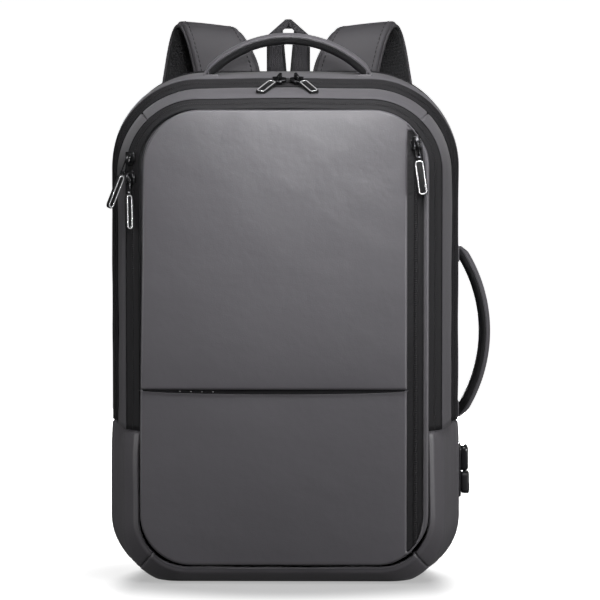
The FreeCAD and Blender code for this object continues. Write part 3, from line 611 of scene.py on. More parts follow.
def make_rear_gusset():
    """The band of cloth behind the main zip."""
    points = wall_grid(arch, dense(0.0062, 0.0655, 26))
    normals = outward(points, arch)
    points = points + normals * puff(points, 0.0016, 0.0016, 0.0016)[..., None]
    points = wrinkle(points, normals, 0.0007, 22, 3)
    cloth = sheet_mesh("rear_gusset_cloth", points, 0.0016, "shell")
    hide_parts("rear_gusset")
    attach(cloth, "root")
    seam = stitches("rear_gusset_stitches", points[2], normals[2])
    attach(seam, "root")


def make_middle_gusset():
    """The band of cloth between the main zip and the front one."""
    points = wall_grid(arch, dense(-0.0553, -0.0082, 30))
    normals = outward(points, arch)
    lift = puff(points, 0.0022, 0.0017, 0.0016) + diagonal_seams(points)
    points = points + normals * lift[..., None]
    points = wrinkle(points, normals, 0.0008, 20, 5)
    cloth = sheet_mesh("middle_gusset_cloth", points, 0.0016, "shell")
    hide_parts("middle_gusset")
    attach(cloth, "main_door")
    for name, row in (("front", 3), ("back", -4)):
        seam = stitches(f"middle_gusset_stitches_{name}", points[row], normals[row])
        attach(seam, "main_door")


def zip_band(name, start, end, body, node_name, rows=12, skirt=0.0):
    """A band of zip tape round the arch; a skirt turns its front edge in."""
    points = wall_grid(arch, np.linspace(start, end, rows))
    if skirt:
        inner = points[:1] - skirt * outward(points, arch)[:1] * [1, 0, 1]
        points = np.concatenate([inner - [0, 0.0004, 0], points])
    cloth = sheet_mesh(name, points, 0.0011, "tape")
    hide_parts(node_name)
    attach(cloth, body)


def teeth(name, path, normals, over, body, node_name, half, fat):
    """The turns of a zip coil along a line."""
    pitch = 0.0016
    run = run_length(path)
    points, faces = [], []
    for spot in np.arange(pitch / 2, run[-1], pitch):
        centre, up, wide = (sample(spot, run, values) for values in (path, normals, over))
        forward = np.cross(up, wide)
        rings = []
        for share, rise in ((-1, -0.2), (-0.7, 0.8), (0, 1.0), (0.7, 0.8), (1, -0.2)):
            rings.append((centre + wide * share * half + up * rise * fat, fat * forward, 0.6 * fat * up))
        add_bead(points, faces, rings)
    coil = new_object(name, points, faces, "coil")
    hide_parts(node_name)
    if body:
        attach(coil, body)
    return coil


def make_zip_bands():
    """The two long zips: tapes either side of a coil, and dark cords along the band edges that stand for the
    shaded gaps there: painted shade.
    """
    zip_band("main_zip_tape_rear", -0.0010, 0.0064, "root", "main_zip_rear_tape")
    zip_band("main_zip_tape_front", -0.0084, -0.0014, "main_door", "main_zip_front_tape")
    zip_band("front_zip_band", -0.0647, -0.0555, "main_door", "front_zip_tape", 16, 0.008)
    # Near-black cords at the panel and band edges: painted shade for the shaded gaps between them.
    for name, y in (("front_zip_shade_line", -0.0659), ("front_band_shade_line", -0.0552), ("main_band_shade_line", -0.0084)):
        row = wall_grid(arch, [y, y + 0.0002])
        seam = sweep(name, row[0] + 0.0001 * outward(row, arch)[0], (0, -1, 0),
                     oval(0.0007, 0.0006, 8), "thread_dark")
        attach(seam, "main_door")
    runs = [
        ("main_zip_teeth_rear", -0.0005, 0.0006, "root", "main_zip_rear_coil"),
        ("main_zip_teeth_front", -0.0021, 0.0006, "main_door", "main_zip_front_coil"),
        ("front_zip_teeth", -0.0603, 0.0012, "main_door", "front_zip_coil"),
    ]
    for name, y, half, body, node_name in runs:
        points = wall_grid(arch, [y - 0.0004, y, y + 0.0004])
        normals = outward(points, arch)[1]
        over = points[2] - points[0]
        over /= np.linalg.norm(over, axis=1, keepdims=True)
        teeth(name, points[1] + normals * 0.0001, normals, over, body, node_name, half, 0.0004)


def boot_lift(points, crown):
    """Fuller below the seam, with the top edge turned in."""
    along = distances(points, 1)
    edge = np.minimum(along, along[:, -1:] - along)
    return crown * (1 - np.exp(-edge / 0.012)) + groove(edge, 0.0018, 0.0016)


def make_boot():
    """The boot in two lengths: the front one runs from the base on to the door and is left on no body."""
    depths = dense(0.0052, 0.0655, 22)
    points = wall_grid(tub, depths)
    normals = outward(points, tub)
    lift = boot_lift(points, 0.0016) + groove(distances(points, 0), 0.0016, 0.0014)
    points = points + normals * np.where(points[..., 2:] < 0.004, 0, lift[..., None])
    cloth = sheet_mesh("boot_rear_cloth", points, 0.002, "boot", True)
    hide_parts("base_boot")
    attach(cloth, "root")
    depths = np.concatenate([dense(-0.0662, -0.040, 22), np.linspace(-0.038, 0.0048, 20)])
    points = wall_grid(tub, depths, 0.009)
    normals = outward(points, tub)
    back = distances(points, 0)
    high = points[..., 2]
    lift = boot_lift(points, 0.0022)
    lift = lift + groove(back, 0.0024, 0.0024) + groove(back[-1:] - back, 0.0014, 0.0014)
    lift = lift + diagonal_seams(points, 0.0012, 0.0011)
    lift = lift * np.clip(high / 0.004, 0, 1)
    points = points + normals * lift[..., None]
    points[..., 2] = np.maximum(points[..., 2], 0.0002)
    points = wrinkle(points, normals * (high[..., None] > 0.012), 0.0008, 24, 11)
    cloth = sheet_mesh("boot_front_cloth", points, 0.002, "boot", True)
    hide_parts("base_boot", "boot_fold")
    crossing(cloth)
    for side, column in (("left", 2), ("right", -3)):
        crossing(stitches(f"boot_seam_stitches_{side}", points[:, column], normals[:, column]))


def crossing(piece):
    """Fabric that runs from the standing base up on to the door."""
    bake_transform(piece)


# ---------------------------------------------------------------- front face


def inset_at(z):
    """How far the front face's outline has turned in from its full width at a height."""
    _, low, high, radius, foot = station(PANEL_Y)
    z = min(max(z, low + 0.0001), high - 0.0001)
    if z > high - radius:
        return radius - math.sqrt(radius**2 - (z - high + radius) ** 2)
    if z < low + foot:
        return foot - math.sqrt(foot**2 - (low + foot - z) ** 2)
    return 0.0


def lean_at(z):
    """How far the panels' left edge has drawn in from the outline at a height."""
    return 0.0038 * np.clip((z - 0.13) / 0.27, 0, 1)


def face_distance(x, z):
    """Distance in from the front face's outline."""
    half, low, high, radius, foot = station(PANEL_Y)
    middle = (low + high) / 2
    x = np.where(x < 0, x * half / (half - lean_at(z)), x)
    r = np.where(z > middle, radius, foot)
    qx = np.abs(x) - (half - r)
    qz = np.where(z > middle, z - (high - r), (low + r) - z)
    outside = np.hypot(np.maximum(qx, 0), np.maximum(qz, 0))
    inside = np.minimum(np.maximum(qx, qz), 0)
    return r - outside - inside


def plump(d, height, width):
    """A quarter-round edge."""
    share = np.clip(d / width, 0, 1)
    return height * np.sqrt(np.maximum(1 - (1 - share) ** 2, 0))


def face_relief(x, z, low, high, crown, mouth):
    """How far a plump panel stands out of the face."""
    past_zip = np.maximum(ZIP_LEFT - x, np.maximum(z - ZIP_HIGH, ZIP_LOW - z))
    edge = np.maximum(np.minimum(face_distance(x, z), past_zip), 0)
    sx = np.clip(1 - ((x + 0.0088) / 0.120) ** 2, 0, 1)
    if mouth:
        edge = np.minimum(edge, (high - z) * 2.5 + 0.0016)
        reach = 0.62 * (high - low)
        rise = np.clip(low + reach - z, 0, 1) / reach
        sz = np.clip(1 - rise**2, 0, 1)
    else:
        edge = np.minimum(edge, z - low)
        bend = np.clip((high - z) / 0.11, 0, 1)
        foot = np.clip((z - low) / 0.05, 0, 1)
        sz = np.sqrt(1 - (1 - bend) ** 2) * (0.6 + 0.4 * np.sqrt(1 - (1 - foot) ** 2))
    return plump(edge, 0.0020, 0.0022) + crown * sx**0.7 * sz


def face_grid(rows, columns, limits):
    """An upright grid on the front face; limits(z) gives its left and right edges at a height."""
    points = np.full((len(rows), len(columns), 3), PANEL_Y)
    for k, z in enumerate(rows):
        left, right = limits(z)
        points[k, :, 0] = left + (right - left) * columns
        points[k, :, 2] = z
    return points


def face_patch(rows, limits, relief, seed):
    """Part of a face panel, raised by its relief and faintly creased."""
    points = face_grid(rows, dense(0, 1, 120), limits)
    points[..., 1] -= relief(points[..., 0], points[..., 2])
    normals = np.broadcast_to([0.0, -1.0, 0.0], points.shape)
    points = wrinkle(points, normals, 0.0009, 11, seed, (1, 1, 0.7))
    return wrinkle(points, normals, 0.0003, 38, seed + 1)


def left_part(z):
    turn = inset_at(z)
    return turn + lean_at(z) - FACE_HALF, min(ZIP_LEFT, FACE_HALF - turn)


def corner_part(z):
    return ZIP_LEFT, max(FACE_HALF - inset_at(z), ZIP_LEFT + 0.0004)


def face_panel(label, low, high, crown, mouth, corner, seed):
    """A plump panel of the front face, and the corner of it that passes the end of the zip."""
    def relief(x, z):
        return face_relief(x, z, low, high, crown, mouth)

    rows = dense(low, high, 110)
    if mouth:
        rows = np.concatenate([rows[:-1], [high - 0.0006, high]])
    points = face_patch(rows, left_part, relief, seed)
    if mouth:
        share = np.clip((points[..., 2] - low) / (high - low), 0, 1) ** 6
        open_share = np.clip(1 - ((points[..., 0] + 0.008) / 0.116) ** 2, 0, 1) ** 0.4
        points[..., 2] += (0.0022 - 0.0034 * open_share) * share
    main = sheet_mesh(f"{label}_cloth", points, 0.0016, "shell")
    end = face_patch(dense(*corner, 40), corner_part, relief, seed)
    patch = sheet_mesh(f"{label}_corner_cloth", end, 0.0016, "shell")
    return main, patch


def edge_path(low, high, inset, count=90):
    """The right-hand edge of the front face between two heights, moved in by an inset."""
    path = []
    for z in np.linspace(low, high, count):
        path.append((FACE_HALF - inset - inset_at(z), PANEL_Y, z))
    return np.array(path)


def make_front_face():
    """The upper panel, the slip pocket and the pocket zip."""
    upper = face_panel("front_upper", 0.1716, FACE_HIGH, 0.0066, False, (ZIP_HIGH, 0.4042), 21)
    for piece in upper:
        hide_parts("front_upper_panel")
        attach(piece, "main_door")
    pocket = face_panel("front_pocket", FACE_LOW, MOUTH_Z, 0.0052, True, (0.0262, ZIP_LOW), 31)
    for piece in pocket:
        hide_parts("front_pocket_panel")
        crossing(piece)
    specks = np.array([(-0.100, -0.0682, 0.1702), (-0.060, -0.0686, 0.1696)])
    line = np.linspace(specks[0], specks[1], 12)
    up = np.tile([0, -1, 0.2], (12, 1))
    crossing(stitches("pocket_mouth_tack", line, up, "thread_pale", long=0.0012, gap=0.0085))
    make_slip_shade_lining()
    make_pocket_zip()


def make_slip_shade_lining():
    """The inside of the slip pocket's mouth: a real lining, coloured near black as painted shade for the
    shaded gap there.
    """
    points = face_grid(np.linspace(0.150, 0.180, 8), np.linspace(0, 1, 60), lambda z: (-0.1235, 0.1072))
    points[..., 1] = -0.0664
    # Near-black tape colour instead of the lining colour: painted shade in the pocket mouth.
    lining = sheet_mesh("slip_pocket_shade_lining", points, 0.0008, "tape_black")
    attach(lining, "main_door")


def zip_part(z):
    return ZIP_LEFT - 0.0008, min(ZIP_RIGHT, FACE_HALF - 0.0030 - inset_at(z))


def make_pocket_zip():
    """The upright zip on the right of the face, and the strip of cloth beside it."""
    rows = np.linspace(ZIP_LOW - 0.001, ZIP_HIGH + 0.001, 150)
    points = face_grid(rows, np.linspace(0, 1, 17), zip_part)
    points[..., 1] = PANEL_Y - 0.0012
    tape = sheet_mesh("pocket_zip_band", points, 0.0010, "tape_black")
    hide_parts("pocket_zip_tape")
    crossing(tape)
    line = np.array([(ZIP_MIDDLE, PANEL_Y - 0.0016, z) for z in np.linspace(0.034, 0.393, 200)])
    up = np.tile([0, -1, 0], (200, 1)).astype(float)
    over = np.tile([1, 0, 0], (200, 1)).astype(float)
    crossing(teeth("pocket_zip_teeth", line, up, over, "", "pocket_zip_coil", 0.0014, 0.00062))
    path = edge_path(0.026, 0.403, 0.0017)
    path[:, 1] = PANEL_Y - 0.0010
    steps = np.arange(len(path))
    taper = np.clip(np.minimum(steps, steps[::-1]) / 6, 0.25, 1)
    strip = sweep("front_edge_cloth", path, (0, -1, 0),
                  lambda i: oval(0.0023 * taper[i], 0.0021, 16), "shell")
    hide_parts("front_edge_strip")
    crossing(strip)


# ---------------------------------------------------------------- inside and back


def loop_slab(name, y0, y1, inset, low, at):
    """A padded sheet inside the bag, as wide as the outline at a depth, down to a height."""
    half, _, high, radius, _ = station(at)
    half, high, radius = half - inset, high - inset, radius - inset
    corners = [(half, low)]
    for a in np.linspace(0, np.pi / 2, 12):
        corners.append((half - radius + radius * math.cos(a), high - radius + radius * math.sin(a)))
    mirrored = [(-x, z) for x, z in reversed(corners)]
    outline = corners + mirrored
    return plate(name, outline, -y1, -y0, UPRIGHT, "lining", "lining_fabric", bevel=0.0009)


def make_inside():
    """Divider, front lining and laptop sleeve."""
    divider = loop_slab("divider_cloth", -0.0119, -0.0086, 0.0042, 0.153, -0.0084)
    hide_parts("divider_panel")
    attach(divider, "main_door")
    lining = loop_slab("front_lining_cloth", -0.0655, -0.0630, 0.0015, 0.144, PANEL_Y)
    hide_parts("front_lining")
    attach(lining, "main_door")
    front = block((0.250, 0.0024, 0.292), 0.0010, (0, 0.0517, 0.158))
    sides = [block((0.0018, 0.0096, 0.292), 0.0006, (sign * 0.1241, 0.0565, 0.158)) for sign in (-1, 1)]
    floor = block((0.2482, 0.0096, 0.0018), 0.0006, (0, 0.0565, 0.0129))
    hem = block((0.2515, 0.0036, 0.012), 0.0012, (0, 0.0517, 0.2985))
    sleeve = merge("laptop_sleeve_cloth", [front, *sides, floor, hem], "lining")
    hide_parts("laptop_sleeve")
    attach(sleeve, "root")


def make_back_panel():
    """The back: a face with rolled edges, closed by a run of piping."""
    levels = [(0.0, 0.0640), (0.0004, 0.0668), (0.0022, 0.0690), (0.0060, 0.0699), (0.030, 0.0702),
              (0.075, 0.0704), (0.1490, 0.0704)]
    half, low, high, radius, foot = station(0.066)
    rows = []
    for inset, y in levels:
        r = max(radius - inset, 0.0010)
        f = max(foot - inset, 0.0010)
        h, lo, hi = half - inset, low + inset + 0.0002, high - inset
        ring = []
        for cx, cz, rr, start in ((h - f, lo + f, f, -0.5), (h - r, hi - r, r, 0),
                                  (r - h, hi - r, r, 0.5), (f - h, lo + f, f, 1.0)):
            for a in np.linspace(start, start + 0.5, 20) * np.pi:
                ring.append((cx + rr * math.cos(a), y, cz + rr * math.sin(a)))
        rows.append(ring)
    points = np.array(rows)
    count, around = points.shape[:2]
    faces = quads(count, around, 0, False, True)
    faces.append(tuple((count - 1) * around + k for k in range(around)))
    inner = points[0].copy()
    inner[:, 1] = 0.0620
    flat = np.concatenate([points.reshape(-1, 3), inner])
    start = count * around
    for k in range(around):
        nxt = (k + 1) % around
        faces.append((k, start + k, start + nxt, nxt))
    faces.append(tuple(start + k for k in reversed(range(around))))
    weave = [(p[0], p[2], 0) for p in flat]
    panel = new_object("back_panel_cloth", flat, faces, "mesh", weave)
    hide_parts("back_panel")
    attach(panel, "root")
    ring = np.array([(p[0], 0.0657, p[2]) for p in points[0]])
    keep = [ring[0]]
    for p in ring[1:]:
        if np.linalg.norm(p - keep[-1]) > 0.0008:
            keep.append(p)
    path = np.array(keep)
    path[:, 2] = np.maximum(path[:, 2], 0.0016)
    piping = sweep("back_piping", path, (0, 1, 0), oval(0.0016, 0.0016, 10), "under", True)
    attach(piping, "root")


def pad_block(name, cx, cz, half_x, half_z, radius):
    """A flat block with rounded corners, ready to be blown up into a cushion."""
    outline = rounded(half_x, half_z, radius, cx, cz)
    return plate(name, outline, -0.0762, -0.0712, UPRIGHT, "mesh", "mesh_fabric", bevel=0.0016)


def apply_modifiers(piece):
    """Turn what the modifiers show into the piece itself."""
    depsgraph = bpy.context.evaluated_depsgraph_get()
    mesh = bpy.data.meshes.new_from_object(piece.evaluated_get(depsgraph))
    piece.modifiers.clear()
    piece.data = mesh


def blow_up(piece, voxel, pressure, limit, base):
    """Inflate a cushion as cloth, then cap how far its skin has moved."""
    remesh = piece.modifiers.new("Remesh", "REMESH")
    remesh.mode = "VOXEL"
    remesh.voxel_size = voxel
    apply_modifiers(piece)
    before = np.array([v.co[:] for v in piece.data.vertices])
    pins = piece.vertex_groups.new(name="held")
    held = [v.index for v in piece.data.vertices if v.co.y < base]
    pins.add(held, 1.0, "REPLACE")
    cloth = piece.modifiers.new("Cloth", "CLOTH")
    cloth.settings.use_pressure = True
    cloth.settings.uniform_pressure_force = pressure
    cloth.settings.effector_weights.gravity = 0
    cloth.settings.vertex_group_mass = "held"
    cloth.settings.quality = 5
    cloth.point_cache.frame_start = 1
    cloth.point_cache.frame_end = 20
    scene = bpy.context.scene
    for step in range(1, cloth.point_cache.frame_end + 1):
        scene.frame_set(step)
        bpy.context.evaluated_depsgraph_get()
    apply_modifiers(piece)
    scene.frame_set(1)
    after = np.array([v.co[:] for v in piece.data.vertices])
    move = after - before
    size = np.linalg.norm(move, axis=1, keepdims=True)
    move *= np.minimum(1, limit / np.maximum(size, 1e-9))
    piece.data.vertices.foreach_set("co", (before + move).ravel())


def pad_seams(piece, lines, low_y):
    """Press quilting channels into a cushion and record its weave."""
    deep = wide = 0.0042
    for vertex in piece.data.vertices:
        x, y, z = vertex.co
        if y < low_y:
            continue
        for axis, place in lines:
            d = (x if axis == "x" else z) - place
            vertex.co.y -= deep * math.exp(-((d / wide) ** 2)) * min((y - low_y) / 0.004, 1)
    set_weave(piece.data, [(v.co.x, v.co.z, 0) for v in piece.data.vertices])
    piece.data.shade_smooth()
    piece.data.materials.clear()
    piece.data.materials.append(M["mesh"])


def make_back_pads():
    """Three quilted cushions, each with a bound edge."""
    pads = [
        ("back_pad_right", 0.070, 0.258, 0.0575, 0.1395, 0.024, [("z", 0.215), ("z", 0.310)]),
        ("back_pad_left", -0.070, 0.258, 0.0575, 0.1395, 0.024, [("z", 0.215), ("z", 0.310)]),
        ("lumbar_pad", 0.0, 0.065, 0.1035, 0.0345, 0.020, [("x", -0.04), ("x", 0.04)]),
    ]
    for node_name, cx, cz, half_x, half_z, radius, lines in pads:
        piece = pad_block(f"{node_name}_cushion", cx, cz, half_x, half_z, radius)
        blow_up(piece, voxel=0.004, pressure=4.0, limit=0.006, base=0.0722)
        smooth = piece.modifiers.new("Subdivision", "SUBSURF")
        smooth.levels = 1
        smooth.render_levels = 1
        apply_modifiers(piece)
        pad_seams(piece, lines, 0.0735)
        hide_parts(node_name)
        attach(piece, "root")
        path = [(x, 0.0718, z) for x, z in rounded(half_x + 0.001, half_z + 0.001, radius, cx, cz)]
        binding = sweep(f"{node_name}_binding", path, (0, 1, 0), oval(0.0018, 0.0016, 10), "under",
                        True)
        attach(binding, "root")


def make_yoke():
    """The sewn patch that both straps start from."""
    patch = rounded(0.088, 0.019, 0.008, 0, YOKE_Z)
    yoke = plate("strap_yoke_cloth", patch, -0.0726, -0.0700, UPRIGHT, "strap", "shell_fabric", bevel=0.0009)
    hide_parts("strap_yoke")
    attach(yoke, "root")
    ring = rounded(0.0855, 0.0165, 0.006, 0, YOKE_Z)
    line = np.array([(x, 0.0726, z) for x, z in ring + ring[:1]])
    seam = stitches("strap_yoke_stitches", line, np.tile([0, 1, 0], (len(line), 1)))
    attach(seam, "root")


# ---------------------------------------------------------------- straps

# Points on the middle line of a strap and of its webbing, each with the width there.
STRAP_LINE = np.array([
    (53, 79.5, 425, 56), (54.5, 80.5, 450, 58), (61.5, 83.5, 473, 57), (69.5, 92, 487, 54),
    (76, 103, 487, 53), (80.5, 112, 472, 55), (84, 115, 440, 60), (91, 112, 380, 64),
    (98, 105, 310, 62), (103, 98, 240, 52), (104, 94, 197, 40),
]) / 1000
WEBBING_LINE = np.array([
    (104, 90.8, 182, 25), (104, 91.5, 166, 25), (110, 86, 130, 25), (118, 79, 85, 25),
    (123, 76, 50, 25), (124, 75.2, 40, 25),
]) / 1000
YOKE_Z = 0.421
LOCK_X, LOCK_Y, LOCK_Z = JOINT["lock_right_tilt"]


def strap_out(line):
    """Outward direction at each point of a strap's middle line."""
    along = np.gradient(line[:, :3], axis=0)
    along /= np.linalg.norm(along, axis=1, keepdims=True)
    outward_way = np.cross(np.tile([1.0, 0, 0], (len(line), 1)), along)
    return outward_way / np.linalg.norm(outward_way, axis=1, keepdims=True)


def strap_tilt(line, sign):
    """Side direction at each point: over the top of the arch the outer edge rides higher."""
    share = np.clip((line[:, 2] - 0.450) / 0.030, 0, 1)
    tilt = 0.11 * share * share * (3 - 2 * share)
    side = np.stack([np.ones(len(line)), np.zeros(len(line)), sign * tilt], axis=1)
    return side / np.linalg.norm(side, axis=1, keepdims=True)


def ribbon(name, line, out, sign, profile, material):
    """A strap along a line. profile(half width) gives its section: across, then outward."""
    line = line.copy()
    line[:, 0] *= sign
    side = strap_tilt(line, sign)
    rows = []
    for index, wide in enumerate(line[:, 3]):
        offsets = profile(wide / 2)
        rows.append(line[index, :3] + offsets[:, :1] * side[index] + offsets[:, 1:] * out[index])
    return tube(name, np.array(rows), False, False, material)


def pad_profile(half):
    """Section of the padded strap: a full cushion with a sewn edge on each side."""
    u = np.linspace(-1, 1, 33)
    edge = np.clip((1 - np.abs(u)) * half / 0.0035, 0, 1)
    top = 0.0012 + 0.0034 * np.sqrt(1 - (1 - edge) ** 2) + 0.0006 * (1 - u**2)
    upper = np.stack([u * half, top], axis=1)
    lower = np.stack([u[::-1] * half, np.full(len(u), 0.0008)], axis=1)
    return np.concatenate([lower, upper])


def mesh_profile(half):
    """Section of the strap's soft mesh underside."""
    u = np.linspace(-1, 1, 25)
    edge = np.clip((1 - np.abs(u)) * half / 0.005, 0, 1)
    low = -0.0002 - 0.0043 * np.sqrt(1 - (1 - edge) ** 2)
    upper = np.stack([u * half * 0.99, np.full(len(u), 0.0009)], axis=1)
    lower = np.stack([u[::-1] * half * 0.99, low[::-1]], axis=1)
    return np.concatenate([lower, upper])


def web_profile(half):
    """Section of the flat webbing."""
    return oval(half, 0.0008, 24, 6)[::-1]


def strap_edge(line, out, sign, way, inset, lift):
    """A line that keeps a distance in from one edge of a strap, lifted off its middle."""
    side = strap_tilt(line, sign)
    row = line[:, :3] * [sign, 1, 1] + way * (line[:, 3:] / 2 - inset) * side
    return row + out * lift


def attach_strap(piece, body, root):
    """The end of a strap near its root is baked in place and left on no body; the rest rides with the strap.
    """
    if root:
        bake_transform(piece)
    else:
        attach(piece, body)


def make_strap(side, sign):
    """A padded strap with its binding, stitches, webbing, lock and anchor."""
    body = f"strap_{side}"
    line = smooth_line(STRAP_LINE, 150)
    out = strap_out(line)
    split = int(np.argmax(line[:, 2] > 0.4465))
    for label, part in (("root", slice(0, split + 2)), ("pad", slice(split, None))):
        root = label == "root"
        for kind, profile, material, slot in (("shoulder_strap", pad_profile, "strap", "shell_fabric"),
                                              ("strap_mesh", mesh_profile, "mesh", "mesh_fabric")):
            piece = ribbon(f"{kind}_{side}_{label}", line[part], out[part], sign, profile, material)
            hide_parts(f"{kind}_{side}")
            attach_strap(piece, body, root)
        for edge, way in (("inner", -1), ("outer", 1)):
            path = strap_edge(line[part], out[part], sign, way, 0.0, 0.0)
            binding = sweep(f"strap_binding_{side}_{label}_{edge}", path, out[part],
                            oval(0.0013, 0.0019, 10), "strap")
            attach_strap(binding, body, root)
    upper = slice(split, None)
    for edge, way in (("inner", -1), ("outer", 1)):
        row = strap_edge(line[upper], out[upper], sign, way, 0.0062, 0.0047)
        seam = stitches(f"strap_stitches_{side}_{edge}", row, out[upper], "thread_dark")
        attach(seam, body)
    web = smooth_line(WEBBING_LINE, 60)
    webbing = ribbon(f"adjuster_webbing_{side}_tape", web, strap_out(web), sign, web_profile, "webbing")
    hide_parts(f"adjuster_webbing_{side}")
    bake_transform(webbing)
    make_lock(side, sign)
    make_keeper(side, sign)
    make_anchor(side, sign)


def make_lock(side, sign):
    """A ladder lock: a frame with two slots."""
    place = Matrix.Translation((sign * LOCK_X, LOCK_Y, LOCK_Z)) @ UPRIGHT
    outer = rounded(0.018, 0.0105, 0.004, 0, -0.0105)
    slots = [rounded(0.0146, 0.0025, 0.001, 0, middle, 4) for middle in (-0.0059, -0.0143)]
    lock = plate(f"ladder_lock_{side}_frame", outer, -0.002, 0.002, place, "plastic", "buckle_plastic",
                 slots, 0.0006)
    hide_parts(f"ladder_lock_{side}")
    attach(lock, f"lock_{side}")


def keeper_outline(radius, tip, top):
    """A drop round the top bar of a lock, seen from the side, in Y and Z."""
    arc = [(LOCK_Y + radius * math.cos(a), 0.1893 + radius * math.sin(a))
           for a in np.linspace(-math.pi - 0.15, 0.15, 17)]
    return arc + [(0.0945 + tip, top), (0.0945 - tip, top)]


def make_keeper(side, sign):
    """The webbing that holds a lock's top bar to the end of its pad."""
    place = Matrix.Translation((sign * LOCK_X, 0, 0)) @ SIDEWAYS
    outer = keeper_outline(0.0044, 0.0012, 0.2040)
    inner = keeper_outline(0.0037, 0.0004, 0.2030)
    keeper = plate(f"lock_keeper_{side}", outer, -0.0125, 0.0125, place, "webbing", "webbing", [inner],
                   0.0002)
    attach(keeper, f"strap_{side}")


def make_anchor(side, sign):
    """The sewn tab that holds the lower end of the webbing."""
    outline = [(0.138, 0.034), (0.138, 0.056), (0.128, 0.062), (0.1105, 0.062), (0.1105, 0.034)]
    outline = [(sign * x, z) for x, z in outline][::sign]
    tab = plate(f"anchor_tab_{side}_cloth", outline, -0.0732, -0.0700, UPRIGHT, "strap", "webbing",
                bevel=0.0008)
    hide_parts(f"anchor_tab_{side}")
    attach(tab, "root")


# ---------------------------------------------------------------- handles and hanging loop

TOP_HANDLE_X, TOP_HANDLE_Y, _ = JOINT["top_handle_tilt"]
_, SIDE_HANDLE_Y, SIDE_HANDLE_Z = JOINT["side_handle_tilt"]
WALL_X = 0.1555  # where the side handle stands on the bag


def arc_path(half, rise, count):
    """A circular arc standing on two feet a span apart."""
    radius = (half**2 + rise**2) / (2 * rise)
    spread = math.asin(half / radius)
    angles = np.linspace(-spread, spread, count)
    return np.stack([radius * np.sin(angles), radius * np.cos(angles) - radius + rise], axis=1)


def handle_parts(name, half, rise, thick, wide, foot, place):
    """A padded handle: grey cloth rolled over its outside, dark webbing beneath."""
    count = 90
    flat = arc_path(half - thick * 0.3, rise - thick / 2, count)
    path = np.array([place @ Vector((x, 0, z)) for x, z in flat])
    up_way = np.array((place.to_3x3() @ Vector((0, 0, 1)))[:])
    share = np.linspace(-1, 1, count)
    taper = np.clip((1 - np.abs(share)) / 0.24, 0, 1)
    taper = foot + (1 - foot) * (taper * taper * (3 - 2 * taper))
    fat = 0.45 + 0.55 * np.clip((1 - np.abs(share)) / 0.10, 0, 1)

    def outer(i):
        angles = np.linspace(0.06 * np.pi, 0.94 * np.pi, 26)
        x = np.cos(angles) * wide / 2 * taper[i]
        y = np.sin(angles) * thick / 2 * fat[i]
        return np.stack([x, y], axis=1)

    def under(i):
        section = oval(wide / 2 * 0.985 * taper[i], thick * 0.5 * fat[i], 24, 2.4)
        section[:, 1] = np.minimum(section[:, 1], thick * 0.2 * fat[i])
        return section

    cloth = sweep(f"{name}_cloth", path, up_way, outer, "shell")
    dark = sweep(f"{name}_underside", path, up_way, under, "under")
    for piece in (cloth, dark):
        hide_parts(name)
        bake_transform(piece)


def make_handles():
    """Both handles, the patches under their feet and the tacks of the top one."""
    place = Matrix.Translation((TOP_HANDLE_X, TOP_HANDLE_Y, 0.4462))
    handle_parts("top_handle", 0.0765, 0.0380, 0.0105, 0.017, 0.5, place)
    turned = Matrix(((0, 0, 1, WALL_X), (0, -1, 0, SIDE_HANDLE_Y), (1, 0, 0, SIDE_HANDLE_Z), (0, 0, 0, 1)))
    handle_parts("side_handle", 0.0790, 0.0290, 0.0105, 0.026, 0.55, turned)
    tops = [block((0.014, 0.014, 0.0016), 0.0006, (x, TOP_HANDLE_Y, 0.4461)) for x in (-0.067, 0.071)]
    sides = [block((0.0016, 0.016, 0.014), 0.0006, (WALL_X, SIDE_HANDLE_Y, z)) for z in (0.146, 0.286)]
    for handle, patches in (("top_handle", tops), ("side_handle", sides)):
        piece = merge(f"{handle}_patches", patches, "shell")
        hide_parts(f"{handle}_tabs")
        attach(piece, "root")
    tacks = []
    for x in (-0.0722, -0.0690, 0.0730, 0.0762):
        tacks.append(block((0.0009, 0.0100, 0.0008), 0.0003, (x, TOP_HANDLE_Y, 0.4480)))
        tacks.append(block((0.0009, 0.0008, 0.0030), 0.0003, (x, TOP_HANDLE_Y - 0.0052, 0.4482)))
    piece = merge("top_handle_tacks", tacks, "thread")
    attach(piece, "root")


def flat_webbing(name, corners, y, thick, turn=0.0, holes=()):
    """A flat piece of webbing square to Y, its ribs turned by an angle."""
    piece = plate(name, corners, -y - thick, -y, UPRIGHT, "webbing", "webbing", holes)
    c, s = math.cos(turn), math.sin(turn)
    places = [v.co for v in piece.data.vertices]
    set_weave(piece.data, [(p.z * c - p.x * s, p.x * c + p.z * s, 0) for p in places])
    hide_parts("hang_loop")
    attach(piece, "root")


